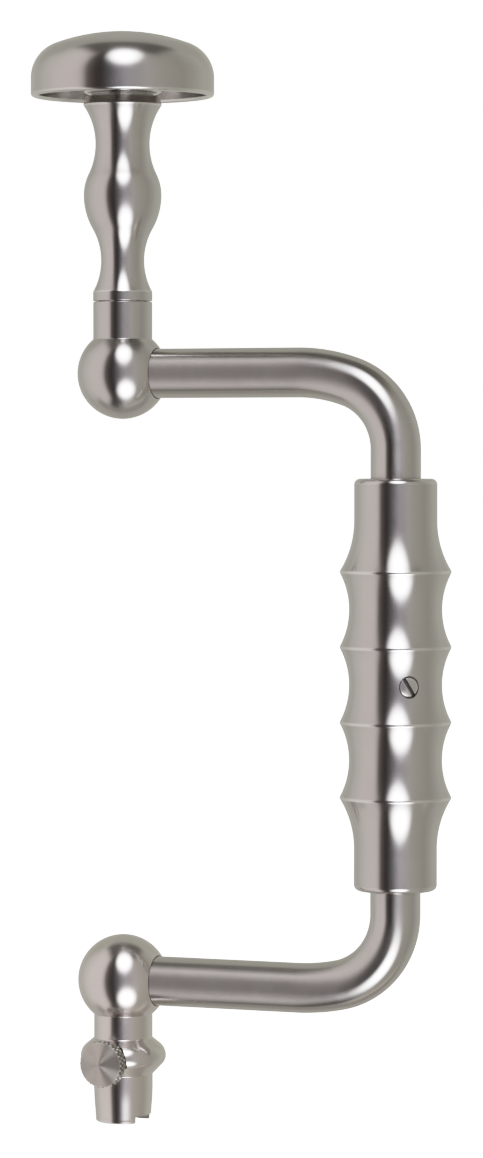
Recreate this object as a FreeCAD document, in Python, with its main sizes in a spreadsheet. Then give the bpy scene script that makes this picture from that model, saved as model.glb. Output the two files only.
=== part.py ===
"""Cranial hand brace: a bent steel crank with a free-turning palm rest and side grip,
and a notched tool chuck with a thumb screw.

Millimetres. The origin is the centre of the chuck's mouth, +Z runs up the column to the
palm knob, and the crank stands out along +X. Every size is a cell of the sheet.
"""
import FreeCAD, Part
import math
import os

import Sketcher
from FreeCAD import Vector

document = FreeCAD.newDocument("hand_brace")

# Driving sizes: name, number, what it is

SIZES = [
    # Crank: one round bar with two compound bends
    ("rod_diameter", 12.7, "round bar of the crank"),
    ("crank_throw", 74.3, "column axis to grip axis"),
    ("lower_arm_height", 36.5, "axis of the lower arm above the mouth"),
    ("upper_arm_height", 192.3, "axis of the upper arm above the mouth"),
    ("rod_end_offset", 1.0, "end face of the bar from the column axis"),
    ("lower_lead_radius", 55.1, "easy part of the lower bend"),
    ("lower_lead_angle", 12.0, "turn of that part, degrees"),
    ("lower_bend_radius", 18.9, "tight part of the lower bend"),
    ("upper_lead_radius", 42.2, "easy part of the upper bend"),
    ("upper_lead_angle", 19.7, "turn of that part, degrees"),
    ("upper_bend_radius", 18.0, "tight part of the upper bend"),
    ("joint_gap", 0.03, "gap of a pressed, brazed or threaded seat"),
    # Ball ends
    ("ball_diameter", 23.3, "both ball ends"),
    ("upper_neck_diameter", 15.2, "plain neck under the palm rest"),
    ("upper_neck_rise", 18.35, "axis of the upper arm to the neck's top face"),
    ("edge_chamfer", 0.3, "small broken edges"),
    ("seam_chamfer", 0.12, "edges of the seam between the neck and the handle"),
    # Palm rest bearing
    ("spindle_diameter", 6.0, "journal that the handle spins on"),
    ("spindle_root_diameter", 7.0, "pressed root of the spindle"),
    ("spindle_root_length", 10.25, "depth of the root in the neck"),
    ("bearing_gap", 0.05, "radial gap of every running fit"),
    ("race_thickness", 0.7, "each flat race"),
    ("race_outer_diameter", 11.4, "lower race"),
    ("bearing_ball_diameter", 1.588, "balls of the thrust bearing"),
    ("bearing_ball_gap", 0.02, "play above and below a ball"),
    ("bearing_ball_circle", 9.2, "pitch circle of the balls"),
    ("bearing_ball_count", 10, "balls in the cage"),
    ("cage_thickness", 0.8, "flat ball cage"),
    ("cage_inner_diameter", 6.9, "bore of the cage"),
    ("cage_outer_diameter", 11.5, "outside of the cage"),
    ("cage_pocket_gap", 0.06, "play round a ball in its pocket"),
    # Rest handle
    ("handle_gap", 0.2, "running gap between the neck and the handle"),
    ("handle_band_diameter", 15.26, "cylindrical band at the foot"),
    ("handle_waist_rise", 10.38, "foot of the handle to its lower waist"),
    ("handle_waist_diameter", 11.12, "lower waist"),
    ("handle_waist_radius", 16.4, "curve of the lower waist"),
    ("handle_bulge_rise", 16.73, "lower waist to the bulge"),
    ("handle_bulge_diameter", 19.98, "bulge"),
    ("handle_neck_rise", 13.04, "bulge to the upper waist"),
    ("handle_neck_diameter", 13.94, "upper waist"),
    ("handle_neck_radius", 17.4, "curve of the upper waist"),
    ("handle_flare_diameter", 20.2, "sharp edge of the flare"),
    ("handle_top_diameter", 18.9, "top face"),
    ("handle_top_rise", 12.1, "upper waist to the top face"),
    ("handle_bore_diameter", 8.0, "seats of both bushes"),
    ("race_seat_diameter", 12.4, "counterbore over the thrust bearing"),
    ("nut_room_diameter", 11.0, "room for the nut"),
    ("bush_length", 10.0, "each bush of the rest"),
    ("bush_flange_diameter", 10.2, "flange of the upper bush"),
    ("bush_flange_thickness", 1.0, "flange of the upper bush"),
    ("axial_play", 0.1, "play of the handle along the spindle"),
    # Nut and washer on the spindle
    ("spindle_thread_diameter", 5.0, "threaded end"),
    ("washer_diameter", 10.0, "retaining washer"),
    ("washer_thickness", 1.0, "retaining washer"),
    ("nut_flats", 8.0, "across the flats"),
    ("nut_thickness", 4.0, "hexagon nut"),
    ("spindle_end_over_nut", 0.6, "thread that shows over the nut"),
    ("spindle_end_clearance", 0.8, "end of the thread below the knob's stub"),
    # Palm knob
    ("knob_rise", 16.6, "top face of the handle to the apex of the knob"),
    ("knob_depth", 16.7, "apex of the knob to its rim"),
    ("knob_diameter", 47.0, "straight band"),
    ("knob_crown_radius", 50.0, "curve of the crown"),
    ("knob_shoulder_radius", 9.3, "curve of the shoulder"),
    ("knob_wall", 1.8, "shell of the knob"),
    ("knob_hub_diameter", 20.0, "hub inside the shell"),
    ("knob_hub_lift", 0.7, "hub face over the handle's top"),
    ("knob_collar_diameter", 16.0, "seat face on the handle"),
    ("knob_stub_diameter", 13.0, "threaded stub in the handle"),
    ("knob_stub_length", 5.0, "threaded stub in the handle"),
    ("stub_end_room", 0.6, "room under the stub"),
    # Side grip
    ("grip_lower_clearance", 6.0, "lower bend to the sleeve"),
    ("grip_upper_clearance", 7.28, "sleeve to the upper bend"),
    ("grip_end_diameter", 20.9, "smooth ends"),
    ("grip_end_round", 1.5, "rounded end corners"),
    ("grip_flare_radius", 24.0, "curve from an end to the first ridge"),
    ("grip_ridge_diameter", 28.3, "crest of the ridges before rounding"),
    ("grip_end_run", 23.35, "end face to the nearest ridge"),
    ("grip_ridge_count", 4, "ridges"),
    ("grip_valley_radius", 19.6, "curve of the valleys"),
    ("grip_ridge_round", 0.6, "rounding of the crests"),
    ("grip_bore_diameter", 14.0, "clear bore round the bar"),
    ("grip_bush_diameter", 16.4, "seats of the grip's bushes"),
    ("grip_bush_length", 15.0, "each bush of the grip"),
    ("grip_bush_recess", 0.5, "bush below the end face"),
    # Set screw of the grip, its point runs in a groove of the bar
    ("set_screw_angle", 36.4, "from the front towards the crank side, degrees"),
    ("set_screw_diameter", 5.0, "slotted set screw"),
    ("set_screw_recess", 0.2, "outer face below the valley"),
    ("set_screw_slot_width", 0.9, "screwdriver slot"),
    ("set_screw_slot_depth", 0.9, "screwdriver slot"),
    ("set_screw_slot_tilt", 31.0, "slot from upright, degrees"),
    ("set_screw_point_diameter", 2.4, "dog point"),
    ("set_screw_body_gap", 0.4, "shoulder of the screw over the bar"),
    ("rod_groove_depth", 1.2, "groove in the bar"),
    ("rod_groove_width", 2.9, "groove in the bar"),
    ("groove_floor_gap", 0.15, "dog point over the groove's floor"),
    # Chuck
    ("chuck_neck_diameter", 15.1, "neck under the lower ball"),
    ("ring_height", 16.9, "middle of the ring"),
    ("ring_diameter", 22.0, "ring"),
    ("ring_upper_round", 4.0, "upper curve of the ring"),
    ("ring_lower_round", 2.9, "lower curve of the ring"),
    ("ring_neck_rise", 4.7, "middle of the ring to the neck"),
    ("ring_foot_drop", 4.7, "middle of the ring to the socket"),
    ("socket_diameter", 15.2, "socket"),
    ("socket_taper_height", 4.4, "start of the taper to the mouth"),
    ("mouth_diameter", 14.2, "mouth, outside"),
    ("mouth_land_height", 1.3, "end of the taper above the mouth"),
    ("tool_bore_diameter", 9.5, "bore for the tool shank"),
    ("tool_bore_depth", 23.6, "full bore"),
    ("tool_bore_tip_angle", 118.0, "drilled end, degrees"),
    ("mouth_bevel", 0.5, "lead-in of the bore"),
    ("notch_width", 9.3, "drive notch in the mouth"),
    ("notch_height", 1.95, "drive notch in the mouth"),
    # Thumb screw, square to the ring
    ("thumb_angle", -4.4, "from the front towards the crank side, degrees"),
    ("thumb_axis_drop", 0.9, "middle of the ring down to the screw's axis"),
    ("thumb_thread_diameter", 4.0, "shank"),
    ("thumb_tip_gap", 0.3, "tip outside the bore at rest"),
    ("thumb_tip_bevel", 0.5, "bevelled tip"),
    ("thumb_face_distance", 8.6, "flat on the ring from the axis"),
    ("thumb_flat_diameter", 11.5, "flat on the ring"),
    ("thumb_head_gap", 1.25, "flat to the back of the head at rest"),
    ("thumb_head_diameter", 12.0, "knurled head"),
    ("thumb_head_thickness", 3.1, "knurled rim"),
    ("thumb_cone_height", 1.0, "shallow cone on the face"),
    ("thumb_rim_chamfer", 0.3, "edges of the rim"),
    ("thumb_spigot_diameter", 3.2, "spigot in the head"),
    ("thumb_spigot_length", 1.9, "spigot in the head"),
    ("knurl_depth", 0.32, "diamond knurl"),
    ("knurl_width", 0.9, "one groove of the knurl"),
    ("knurl_angle", 30.0, "slant of the grooves, degrees"),
    ("knurl_count", 30, "grooves each way"),
]


def make_sheet():
    """Return the sheet that holds every driving size under its own alias."""
    result = document.addObject("Spreadsheet::Sheet", "sizes")
    for row, (name, size, note) in enumerate(SIZES, start=1):
        result.set(f"A{row}", name)
        result.set(f"B{row}", str(size))
        result.setAlias(f"B{row}", name)
        result.set(f"C{row}", note)
    document.recompute()
    return result


sheet = make_sheet()


def cell(name):
    """Return the expression that reads one cell."""
    return f"sizes.{name}"


def number(expression):
    """Return what an expression over the sheet comes to."""
    return float(sheet.evalExpression(str(expression)))


def bind(item, path, expression):
    """Bind one property or constraint of an object to an expression."""
    item.setExpression(path, str(expression))


# Sketches


def origin_plane(body, role):
    """Return one of a body's own origin planes."""
    return next(item for item in body.Origin.OriginFeatures if item.Role == role)


def new_sketch(body, name, role="XZ_Plane", offset=None, turn=None, axis=Vector(0, 1, 0)):
    """Return a sketch on an origin plane, moved along its normal and turned about an axis."""
    sketch = body.newObject("Sketcher::SketchObject", name)
    sketch.AttachmentSupport = [(origin_plane(body, role), "")]
    sketch.MapMode = "FlatFace"
    if turn is not None:
        rotation = FreeCAD.Rotation(axis, number(turn))
        sketch.AttachmentOffset = FreeCAD.Placement(Vector(), rotation)
        bind(sketch, "AttachmentOffset.Rotation.Angle", turn)
    if offset is not None and turn is not None and axis.y:
        bind(sketch, "AttachmentOffset.Base.x", f"({offset}) * sin({turn})")
        offset = f"({offset}) * cos({turn})"
    if offset is not None:
        bind(sketch, "AttachmentOffset.Base.z", offset)
    return sketch


def pin_coordinate(sketch, kind, geometry, position, expression):
    """Fix one coordinate of a sketch point and bind it to an expression."""
    size = number(expression)
    if abs(size) < 1e-9:
        other_axis = -2 if kind == "DistanceX" else -1
        sketch.addConstraint(Sketcher.Constraint("PointOnObject", geometry, position, other_axis))
        return
    if size > 0:
        constraint = Sketcher.Constraint(kind, -1, 1, geometry, position, size)
    else:
        constraint = Sketcher.Constraint(kind, geometry, position, -1, 1, -size)
        expression = f"-({expression})"
    index = sketch.addConstraint(constraint)
    bind(sketch, f"Constraints[{index}]", expression)


def arc_between(start, end, radius, turn):
    """Return the short arc from start to end; turn is 1 for left and -1 for right."""
    chord = end - start
    half = chord.Length / 2
    height = math.sqrt(max(radius ** 2 - half ** 2, 0.0))
    left = Vector(-chord.y, chord.x, 0).normalize()
    centre = (start + end) / 2 + left * height * turn
    first, last = (start, end) if turn > 0 else (end, start)
    angle_from = math.atan2(first.y - centre.y, first.x - centre.x)
    angle_to = math.atan2(last.y - centre.y, last.x - centre.x)
    circle = Part.Circle(centre, Vector(0, 0, 1), radius)
    return Part.ArcOfCircle(circle, angle_from, angle_to)


def draw(sketch, start, steps, closed=True):
    """Draw lines and arcs point by point, each point and radius bound to the sheet.

    start is (x, y). A step is (x, y) for a line, or (x, y, radius, turn) for a short arc.
    """
    points = [start] + [step[:2] for step in steps]
    places = [Vector(number(x), number(y), 0) for x, y in points]
    if closed:
        steps = steps + [start]
        places.append(places[0])
    ends = []
    for index, step in enumerate(steps):
        first, last = places[index], places[index + 1]
        if len(step) == 2:
            geometry = sketch.addGeometry(Part.LineSegment(first, last), False)
            ends.append((geometry, 1, 2))
            continue
        radius, turn = step[2:]
        geometry = sketch.addGeometry(arc_between(first, last, number(radius), turn), False)
        ends.append((geometry, 1, 2) if turn > 0 else (geometry, 2, 1))
        constraint = sketch.addConstraint(Sketcher.Constraint("Radius", geometry, number(radius)))
        bind(sketch, f"Constraints[{constraint}]", radius)
    for index, (geometry, from_end, to_end) in enumerate(ends):
        if index > 0 or closed:
            before, _, before_end = ends[index - 1]
            link = Sketcher.Constraint("Coincident", before, before_end, geometry, from_end)
            sketch.addConstraint(link)
        pin_coordinate(sketch, "DistanceX", geometry, from_end, points[index][0])
        pin_coordinate(sketch, "DistanceY", geometry, from_end, points[index][1])
    if not closed:
        geometry, _, to_end = ends[-1]
        pin_coordinate(sketch, "DistanceX", geometry, to_end, points[-1][0])
        pin_coordinate(sketch, "DistanceY", geometry, to_end, points[-1][1])
    return sketch


def draw_circle(sketch, x, y, diameter):
    """Draw one circle whose centre and diameter are bound to the sheet."""
    centre = Vector(number(x), number(y), 0)
    radius = number(diameter) / 2
    geometry = sketch.addGeometry(Part.Circle(centre, Vector(0, 0, 1), radius), False)
    pin_coordinate(sketch, "DistanceX", geometry, 3, x)
    pin_coordinate(sketch, "DistanceY", geometry, 3, y)
    constraint = sketch.addConstraint(Sketcher.Constraint("Diameter", geometry, number(diameter)))
    bind(sketch, f"Constraints[{constraint}]", diameter)
    return sketch


def half(name):
    """Return the expression for half of a cell."""
    return f"{cell(name)} / 2"


# Features


nodes = []


def new_body(name):
    """Return a new body whose label is the sub-part's name."""
    body = document.addObject("PartDesign::Body", name)
    body.Label = name
    nodes.append(body)
    return body


def revolve(body, name, start, steps):
    """Turn an outline in the XZ plane about the body's Z axis."""
    sketch = draw(new_sketch(body, f"{name}_outline"), start, steps)
    feature = body.newObject("PartDesign::Revolution", name)
    feature.Profile = sketch
    feature.ReferenceAxis = (sketch, ["V_Axis"])
    feature.Angle = 360
    document.recompute()
    return feature


def cut(body, name, sketch, length, along_normal=True, both_ways=False):
    """Cut a sketch into a body and make sure that the cut took something away."""
    before = body.Shape.Volume
    feature = body.newObject("PartDesign::Pocket", name)
    feature.Profile = sketch
    feature.Type = "Length"
    if both_ways:
        feature.SideType = "Symmetric"
    feature.Reversed = along_normal
    bind(feature, "Length", length)
    document.recompute()
    if not feature.Shape.Volume < before:
        raise RuntimeError(f"{name} cuts nothing")
    return feature


def repeat_round(body, name, features, count):
    """Repeat features in a full circle about the body's Z axis."""
    pattern = body.newObject("PartDesign::PolarPattern", name)
    pattern.Originals = features
    axis = next(item for item in body.Origin.OriginFeatures if item.Role == "Z_Axis")
    pattern.Axis = (axis, [""])
    pattern.Angle = 360
    bind(pattern, "Occurrences", count)
    body.Tip = pattern
    document.recompute()
    return pattern


def ring_piece(name, inner, outer, bottom, top):
    """Return a plain turned ring: diameters inside and outside, heights of both faces."""
    body = new_body(name)
    near, far = f"({inner}) / 2", f"({outer}) / 2"
    revolve(body, f"{name}_ring", (near, bottom), [(far, bottom), (far, top), (near, top)])
    return body


# Heights and distances that several pieces share

ROD_RADIUS = half("rod_diameter")
BALL_RADIUS = half("ball_diameter")
GAP = cell("joint_gap")
RUN = cell("bearing_gap")
CHAMFER = cell("edge_chamfer")
SEAM_CHAMFER = cell("seam_chamfer")
NECK_TOP = f"{cell('upper_arm_height')} + {cell('upper_neck_rise')}"
RACE_TOP = f"{NECK_TOP} + {cell('race_thickness')}"
BALL_SPACE = f"{cell('bearing_ball_diameter')} + 2 * {cell('bearing_ball_gap')}"
BALL_LEVEL = f"{RACE_TOP} + ({BALL_SPACE}) / 2"
UPPER_RACE_BOTTOM = f"{RACE_TOP} + {BALL_SPACE}"
RACE_SEAT = f"{UPPER_RACE_BOTTOM} + {cell('race_thickness')}"
HANDLE_FOOT = f"{NECK_TOP} + {cell('handle_gap')}"
WAIST_LEVEL = f"({HANDLE_FOOT} + {cell('handle_waist_rise')})"
BULGE_LEVEL = f"({WAIST_LEVEL} + {cell('handle_bulge_rise')})"
UPPER_WAIST_LEVEL = f"({BULGE_LEVEL} + {cell('handle_neck_rise')})"
HANDLE_TOP = f"({UPPER_WAIST_LEVEL} + {cell('handle_top_rise')})"
KNOB_TOP = f"({HANDLE_TOP} + {cell('knob_rise')})"
KNOB_RIM = f"({KNOB_TOP} - {cell('knob_depth')})"
STUB_BOTTOM = f"{HANDLE_TOP} - {cell('knob_stub_length')}"
SPINDLE_TOP = f"{STUB_BOTTOM} - {cell('spindle_end_clearance')}"
NUT_TOP = f"{SPINDLE_TOP} - {cell('spindle_end_over_nut')}"
WASHER_TOP = f"{NUT_TOP} - {cell('nut_thickness')}"
WASHER_BOTTOM = f"{WASHER_TOP} - {cell('washer_thickness')}"
FLANGE_TOP = f"{WASHER_BOTTOM} - {cell('axial_play')}"
NUT_ROOM_FLOOR = f"{FLANGE_TOP} - {cell('bush_flange_thickness')}"
THUMB_LEVEL = f"({cell('ring_height')} - {cell('thumb_axis_drop')})"
HEAD_BACK = f"{cell('thumb_face_distance')} + {cell('thumb_head_gap')}"
GROOVE_FLOOR = f"{ROD_RADIUS} - {cell('rod_groove_depth')}"


def bend_reach(end):
    """Return how far one bend of the crank reaches along its arm, for lower or upper."""
    lead, angle = cell(f"{end}_lead_radius"), cell(f"{end}_lead_angle")
    tight = cell(f"{end}_bend_radius")
    return f"({lead} * sin({angle}) + {tight} * (1 - sin({angle})))"


def bend_rise(end):
    """Return how far one bend of the crank rises from its arm."""
    lead, angle = cell(f"{end}_lead_radius"), cell(f"{end}_lead_angle")
    tight = cell(f"{end}_bend_radius")
    return f"({lead} * (1 - cos({angle})) + {tight} * cos({angle}))"


GRIP_BOTTOM = (f"({cell('lower_arm_height')} + {bend_rise('lower')}"
               f" + {cell('grip_lower_clearance')})")
GRIP_TOP = (f"({cell('upper_arm_height')} - {bend_rise('upper')}"
            f" - {cell('grip_upper_clearance')})")
GRIP_MIDDLE = f"(({GRIP_BOTTOM} + {GRIP_TOP}) / 2)"
RIDGE_PITCH = (f"(({GRIP_TOP} - {GRIP_BOTTOM} - 2 * {cell('grip_end_run')})"
               f" / ({cell('grip_ridge_count')} - 1))")


# Crank


def bend_points(end, direction):
    """Return where a bend leaves its arm, where its curve tightens and where it ends."""
    lead, angle = cell(f"{end}_lead_radius"), cell(f"{end}_lead_angle")
    level = cell(f"{end}_arm_height")
    leave = f"{cell('crank_throw')} - {bend_reach(end)}"
    change_x = f"{leave} + {lead} * sin({angle})"
    change_z = f"{level} {direction} {lead} * (1 - cos({angle}))"
    upright = (cell("crank_throw"), f"{level} {direction} {bend_rise(end)}")
    return (leave, level), (change_x, change_z), upright


def make_crank_rod():
    """The bar: arm, compound bend, upright, compound bend, arm, with a groove for the screw."""
    body = new_body("crank_rod")
    path = new_sketch(body, "rod_path")
    lower_leave, lower_change, lower_end = bend_points("lower", "+")
    upper_leave, upper_change, upper_end = bend_points("upper", "-")
    start = (cell("rod_end_offset"), cell("lower_arm_height"))
    steps = [
        lower_leave,
        (*lower_change, cell("lower_lead_radius"), 1),
        (*lower_end, cell("lower_bend_radius"), 1),
        upper_end,
        (*upper_change, cell("upper_bend_radius"), 1),
        (*upper_leave, cell("upper_lead_radius"), 1),
        (cell("rod_end_offset"), cell("upper_arm_height")),
    ]
    draw(path, start, steps, closed=False)
    section = new_sketch(body, "rod_section", "YZ_Plane", offset=cell("rod_end_offset"))
    draw_circle(section, "0", cell("lower_arm_height"), cell("rod_diameter"))
    document.recompute()
    pipe = body.newObject("PartDesign::AdditivePipe", "bent_rod")
    pipe.Profile = section
    pipe.Spine = (path, [f"Edge{index + 1}" for index in range(len(path.Shape.Edges))])
    document.recompute()
    run_length = sum(edge.Length for edge in path.Shape.Edges)
    expected = run_length * math.pi * number(ROD_RADIUS) ** 2
    if abs(pipe.Shape.Volume / expected - 1) > 0.001:
        raise RuntimeError("the bent rod's volume is not its section times its length")
    groove_outline = new_sketch(body, "groove_outline")
    inside = f"{cell('crank_throw')} + {GROOVE_FLOOR}"
    outside = f"{cell('crank_throw')} + {cell('rod_diameter')}"
    low = f"{GRIP_MIDDLE} - {half('rod_groove_width')}"
    high = f"{GRIP_MIDDLE} + {half('rod_groove_width')}"
    draw(groove_outline, (inside, low), [(outside, low), (outside, high), (inside, high)])
    axis = groove_outline.addGeometry(Part.LineSegment(
        Vector(number(cell("crank_throw")), number(low), 0),
        Vector(number(cell("crank_throw")), number(high), 0)), True)
    for end, level in ((1, low), (2, high)):
        pin_coordinate(groove_outline, "DistanceX", axis, end, cell("crank_throw"))
        pin_coordinate(groove_outline, "DistanceY", axis, end, level)
    groove = body.newObject("PartDesign::Groove", "screw_groove")
    groove.Profile = groove_outline
    groove.ReferenceAxis = (groove_outline, ["Axis0"])
    groove.Angle = 360
    document.recompute()
    if not groove.Shape.Volume < pipe.Shape.Volume:
        raise RuntimeError("the groove cuts nothing")


def cut_rod_seat(body, level):
    """Cut the blind seat that the bar's end stands in, open towards the crank."""
    sketch = new_sketch(body, "rod_seat_circle", "YZ_Plane", offset=cell("rod_end_offset"))
    draw_circle(sketch, "0", level, f"{cell('rod_diameter')} + 2 * {GAP}")
    cut(body, "rod_seat", sketch, cell("ball_diameter"))


def make_upper_ball_boss():
    """Ball on the upper arm with its plain neck and the seat of the spindle."""
    body = new_body("upper_ball_boss")
    level = cell("upper_arm_height")
    neck = half("upper_neck_diameter")
    meet = f"{level} + sqrt(({BALL_RADIUS})^2 - ({neck})^2)"
    seat = f"{half('spindle_root_diameter')} + {GAP}"
    floor = f"{NECK_TOP} - {cell('spindle_root_length')}"
    steps = [
        (BALL_RADIUS, level, BALL_RADIUS, 1),
        (neck, meet, BALL_RADIUS, 1),
        (neck, f"{NECK_TOP} - {SEAM_CHAMFER}"),
        (f"{neck} - {SEAM_CHAMFER}", NECK_TOP),
        (seat, NECK_TOP),
        (seat, floor),
        ("0", floor),
    ]
    revolve(body, "ball_and_neck", ("0", f"{level} - {BALL_RADIUS}"), steps)
    cut_rod_seat(body, level)


# Chuck


def tangent_angle(x, z, centre_x, centre_z, radius, side):
    """Return the angle of the tangent point, from a circle's centre, of a line from (x, z)."""
    reach = f"sqrt(({x} - ({centre_x}))^2 + ({z} - ({centre_z}))^2)"
    direction = f"atan2({z} - ({centre_z}); {x} - ({centre_x}))"
    return f"({direction} {side} acos({radius} / {reach}))"


def make_chuck_body():
    """Lower ball, neck, ring and socket in one, bored for the tool and notched at the mouth."""
    body = new_body("chuck_body")
    level = cell("lower_arm_height")
    neck = half("chuck_neck_diameter")
    socket = half("socket_diameter")
    meet = f"{level} - sqrt(({BALL_RADIUS})^2 - ({neck})^2)"
    upper, lower = cell("ring_upper_round"), cell("ring_lower_round")
    upper_centre = f"{half('ring_diameter')} - {upper}"
    lower_centre = f"{half('ring_diameter')} - {lower}"
    middle = cell("ring_height")
    neck_level = f"({middle} + {cell('ring_neck_rise')})"
    foot_level = f"({middle} - {cell('ring_foot_drop')})"
    upper_turn = tangent_angle(neck, neck_level, upper_centre, middle, upper, "-")
    lower_turn = tangent_angle(socket, foot_level, lower_centre, middle, lower, "+")
    mouth = half("mouth_diameter")
    bore = half("tool_bore_diameter")
    depth = cell("tool_bore_depth")
    tip = f"{depth} + {bore} / tan({cell('tool_bore_tip_angle')} / 2)"
    steps = [
        (f"{bore} + {cell('mouth_bevel')}", "0"),
        (f"{mouth} - {CHAMFER}", "0"),
        (mouth, CHAMFER),
        (mouth, cell("mouth_land_height")),
        (socket, cell("socket_taper_height")),
        (socket, foot_level),
        (f"{lower_centre} + {lower} * cos({lower_turn})",
         f"{middle} + {lower} * sin({lower_turn})"),
        (half("ring_diameter"), middle, lower, 1),
        (f"{upper_centre} + {upper} * cos({upper_turn})",
         f"{middle} + {upper} * sin({upper_turn})", upper, 1),
        (neck, neck_level),
        (neck, meet),
        (BALL_RADIUS, level, BALL_RADIUS, 1),
        ("0", f"{level} + {BALL_RADIUS}", BALL_RADIUS, 1),
        ("0", tip),
        (bore, depth),
    ]
    revolve(body, "turned_chuck", (bore, cell("mouth_bevel")), steps)
    cut_rod_seat(body, level)
    notch = new_sketch(body, "notch_outline", "XY_Plane")
    side = half("notch_width")
    reach = cell("socket_diameter")
    draw(notch, ("0", f"-{side}"), [(reach, f"-{side}"), (reach, side), ("0", side)])
    cut(body, "drive_notch", notch, cell("notch_height"))
    flat = new_sketch(body, "thumb_flat_circle", offset=cell("thumb_face_distance"),
                      turn=cell("thumb_angle"))
    draw_circle(flat, "0", THUMB_LEVEL, cell("thumb_flat_diameter"))
    cut(body, "thumb_flat", flat, cell("ring_diameter"))
    hole = new_sketch(body, "thumb_hole_circle", turn=cell("thumb_angle"))
    draw_circle(hole, "0", THUMB_LEVEL, f"{cell('thumb_thread_diameter')} + 2 * {RUN}")
    cut(body, "thumb_hole", hole, cell("ring_diameter"))


# Palm rest


def make_rest_spindle():
    """Pin pressed in the upper neck: root, journal and threaded end."""
    body = new_body("rest_spindle")
    root = half("spindle_root_diameter")
    journal = half("spindle_diameter")
    thread = half("spindle_thread_diameter")
    steps = [
        (root, f"{NECK_TOP} - {cell('spindle_root_length')}"),
        (root, NECK_TOP),
        (journal, NECK_TOP),
        (journal, WASHER_BOTTOM),
        (thread, WASHER_BOTTOM),
        (thread, f"{SPINDLE_TOP} - {CHAMFER}"),
        (f"{thread} - {CHAMFER}", SPINDLE_TOP),
        ("0", SPINDLE_TOP),
    ]
    revolve(body, "stepped_pin", ("0", f"{NECK_TOP} - {cell('spindle_root_length')}"), steps)


def make_thrust_bearing():
    """Two flat races, a cage and its balls under the handle."""
    journal = cell("spindle_diameter")
    ring_piece("thrust_race_lower", f"{journal} + 2 * {RUN}", cell("race_outer_diameter"),
               NECK_TOP, RACE_TOP)
    ring_piece("thrust_race_upper", cell("cage_inner_diameter"),
               f"{cell('race_seat_diameter')} - 2 * {GAP}", UPPER_RACE_BOTTOM, RACE_SEAT)
    cage = ring_piece("thrust_cage", cell("cage_inner_diameter"), cell("cage_outer_diameter"),
                      f"{BALL_LEVEL} - {half('cage_thickness')}",
                      f"{BALL_LEVEL} + {half('cage_thickness')}")
    circle = new_sketch(cage, "ball_pocket_circle", "XY_Plane", offset=BALL_LEVEL)
    draw_circle(circle, half("bearing_ball_circle"), "0",
                f"{cell('bearing_ball_diameter')} + 2 * {cell('cage_pocket_gap')}")
    pocket = cut(cage, "ball_pocket", circle, f"2 * {cell('cage_thickness')}", both_ways=True)
    repeat_round(cage, "ball_pockets", [pocket], cell("bearing_ball_count"))
    count = int(number(cell("bearing_ball_count")))
    for index in range(count):
        ball = document.addObject("Part::Sphere", f"thrust_ball_{index + 1:02d}")
        ball.Label = f"thrust_ball_{index + 1:02d}"
        turn = f"{index} * 360 / {cell('bearing_ball_count')}"
        bind(ball, "Radius", half("bearing_ball_diameter"))
        bind(ball, "Placement.Base.x", f"{half('bearing_ball_circle')} * cos({turn})")
        bind(ball, "Placement.Base.y", f"{half('bearing_ball_circle')} * sin({turn})")
        bind(ball, "Placement.Base.z", BALL_LEVEL)
        nodes.append(ball)


def blend_radius(wide, narrow, wide_height, narrow_height, known):
    """Return the bulge's radius that meets the waist's known radius in one tangent."""
    rise = f"({wide_height} - {narrow_height})"
    step = f"(({wide} - {narrow}) / 2)"
    return f"(({rise}^2 + {step}^2) / (2 * {step}) - {known})"


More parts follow.
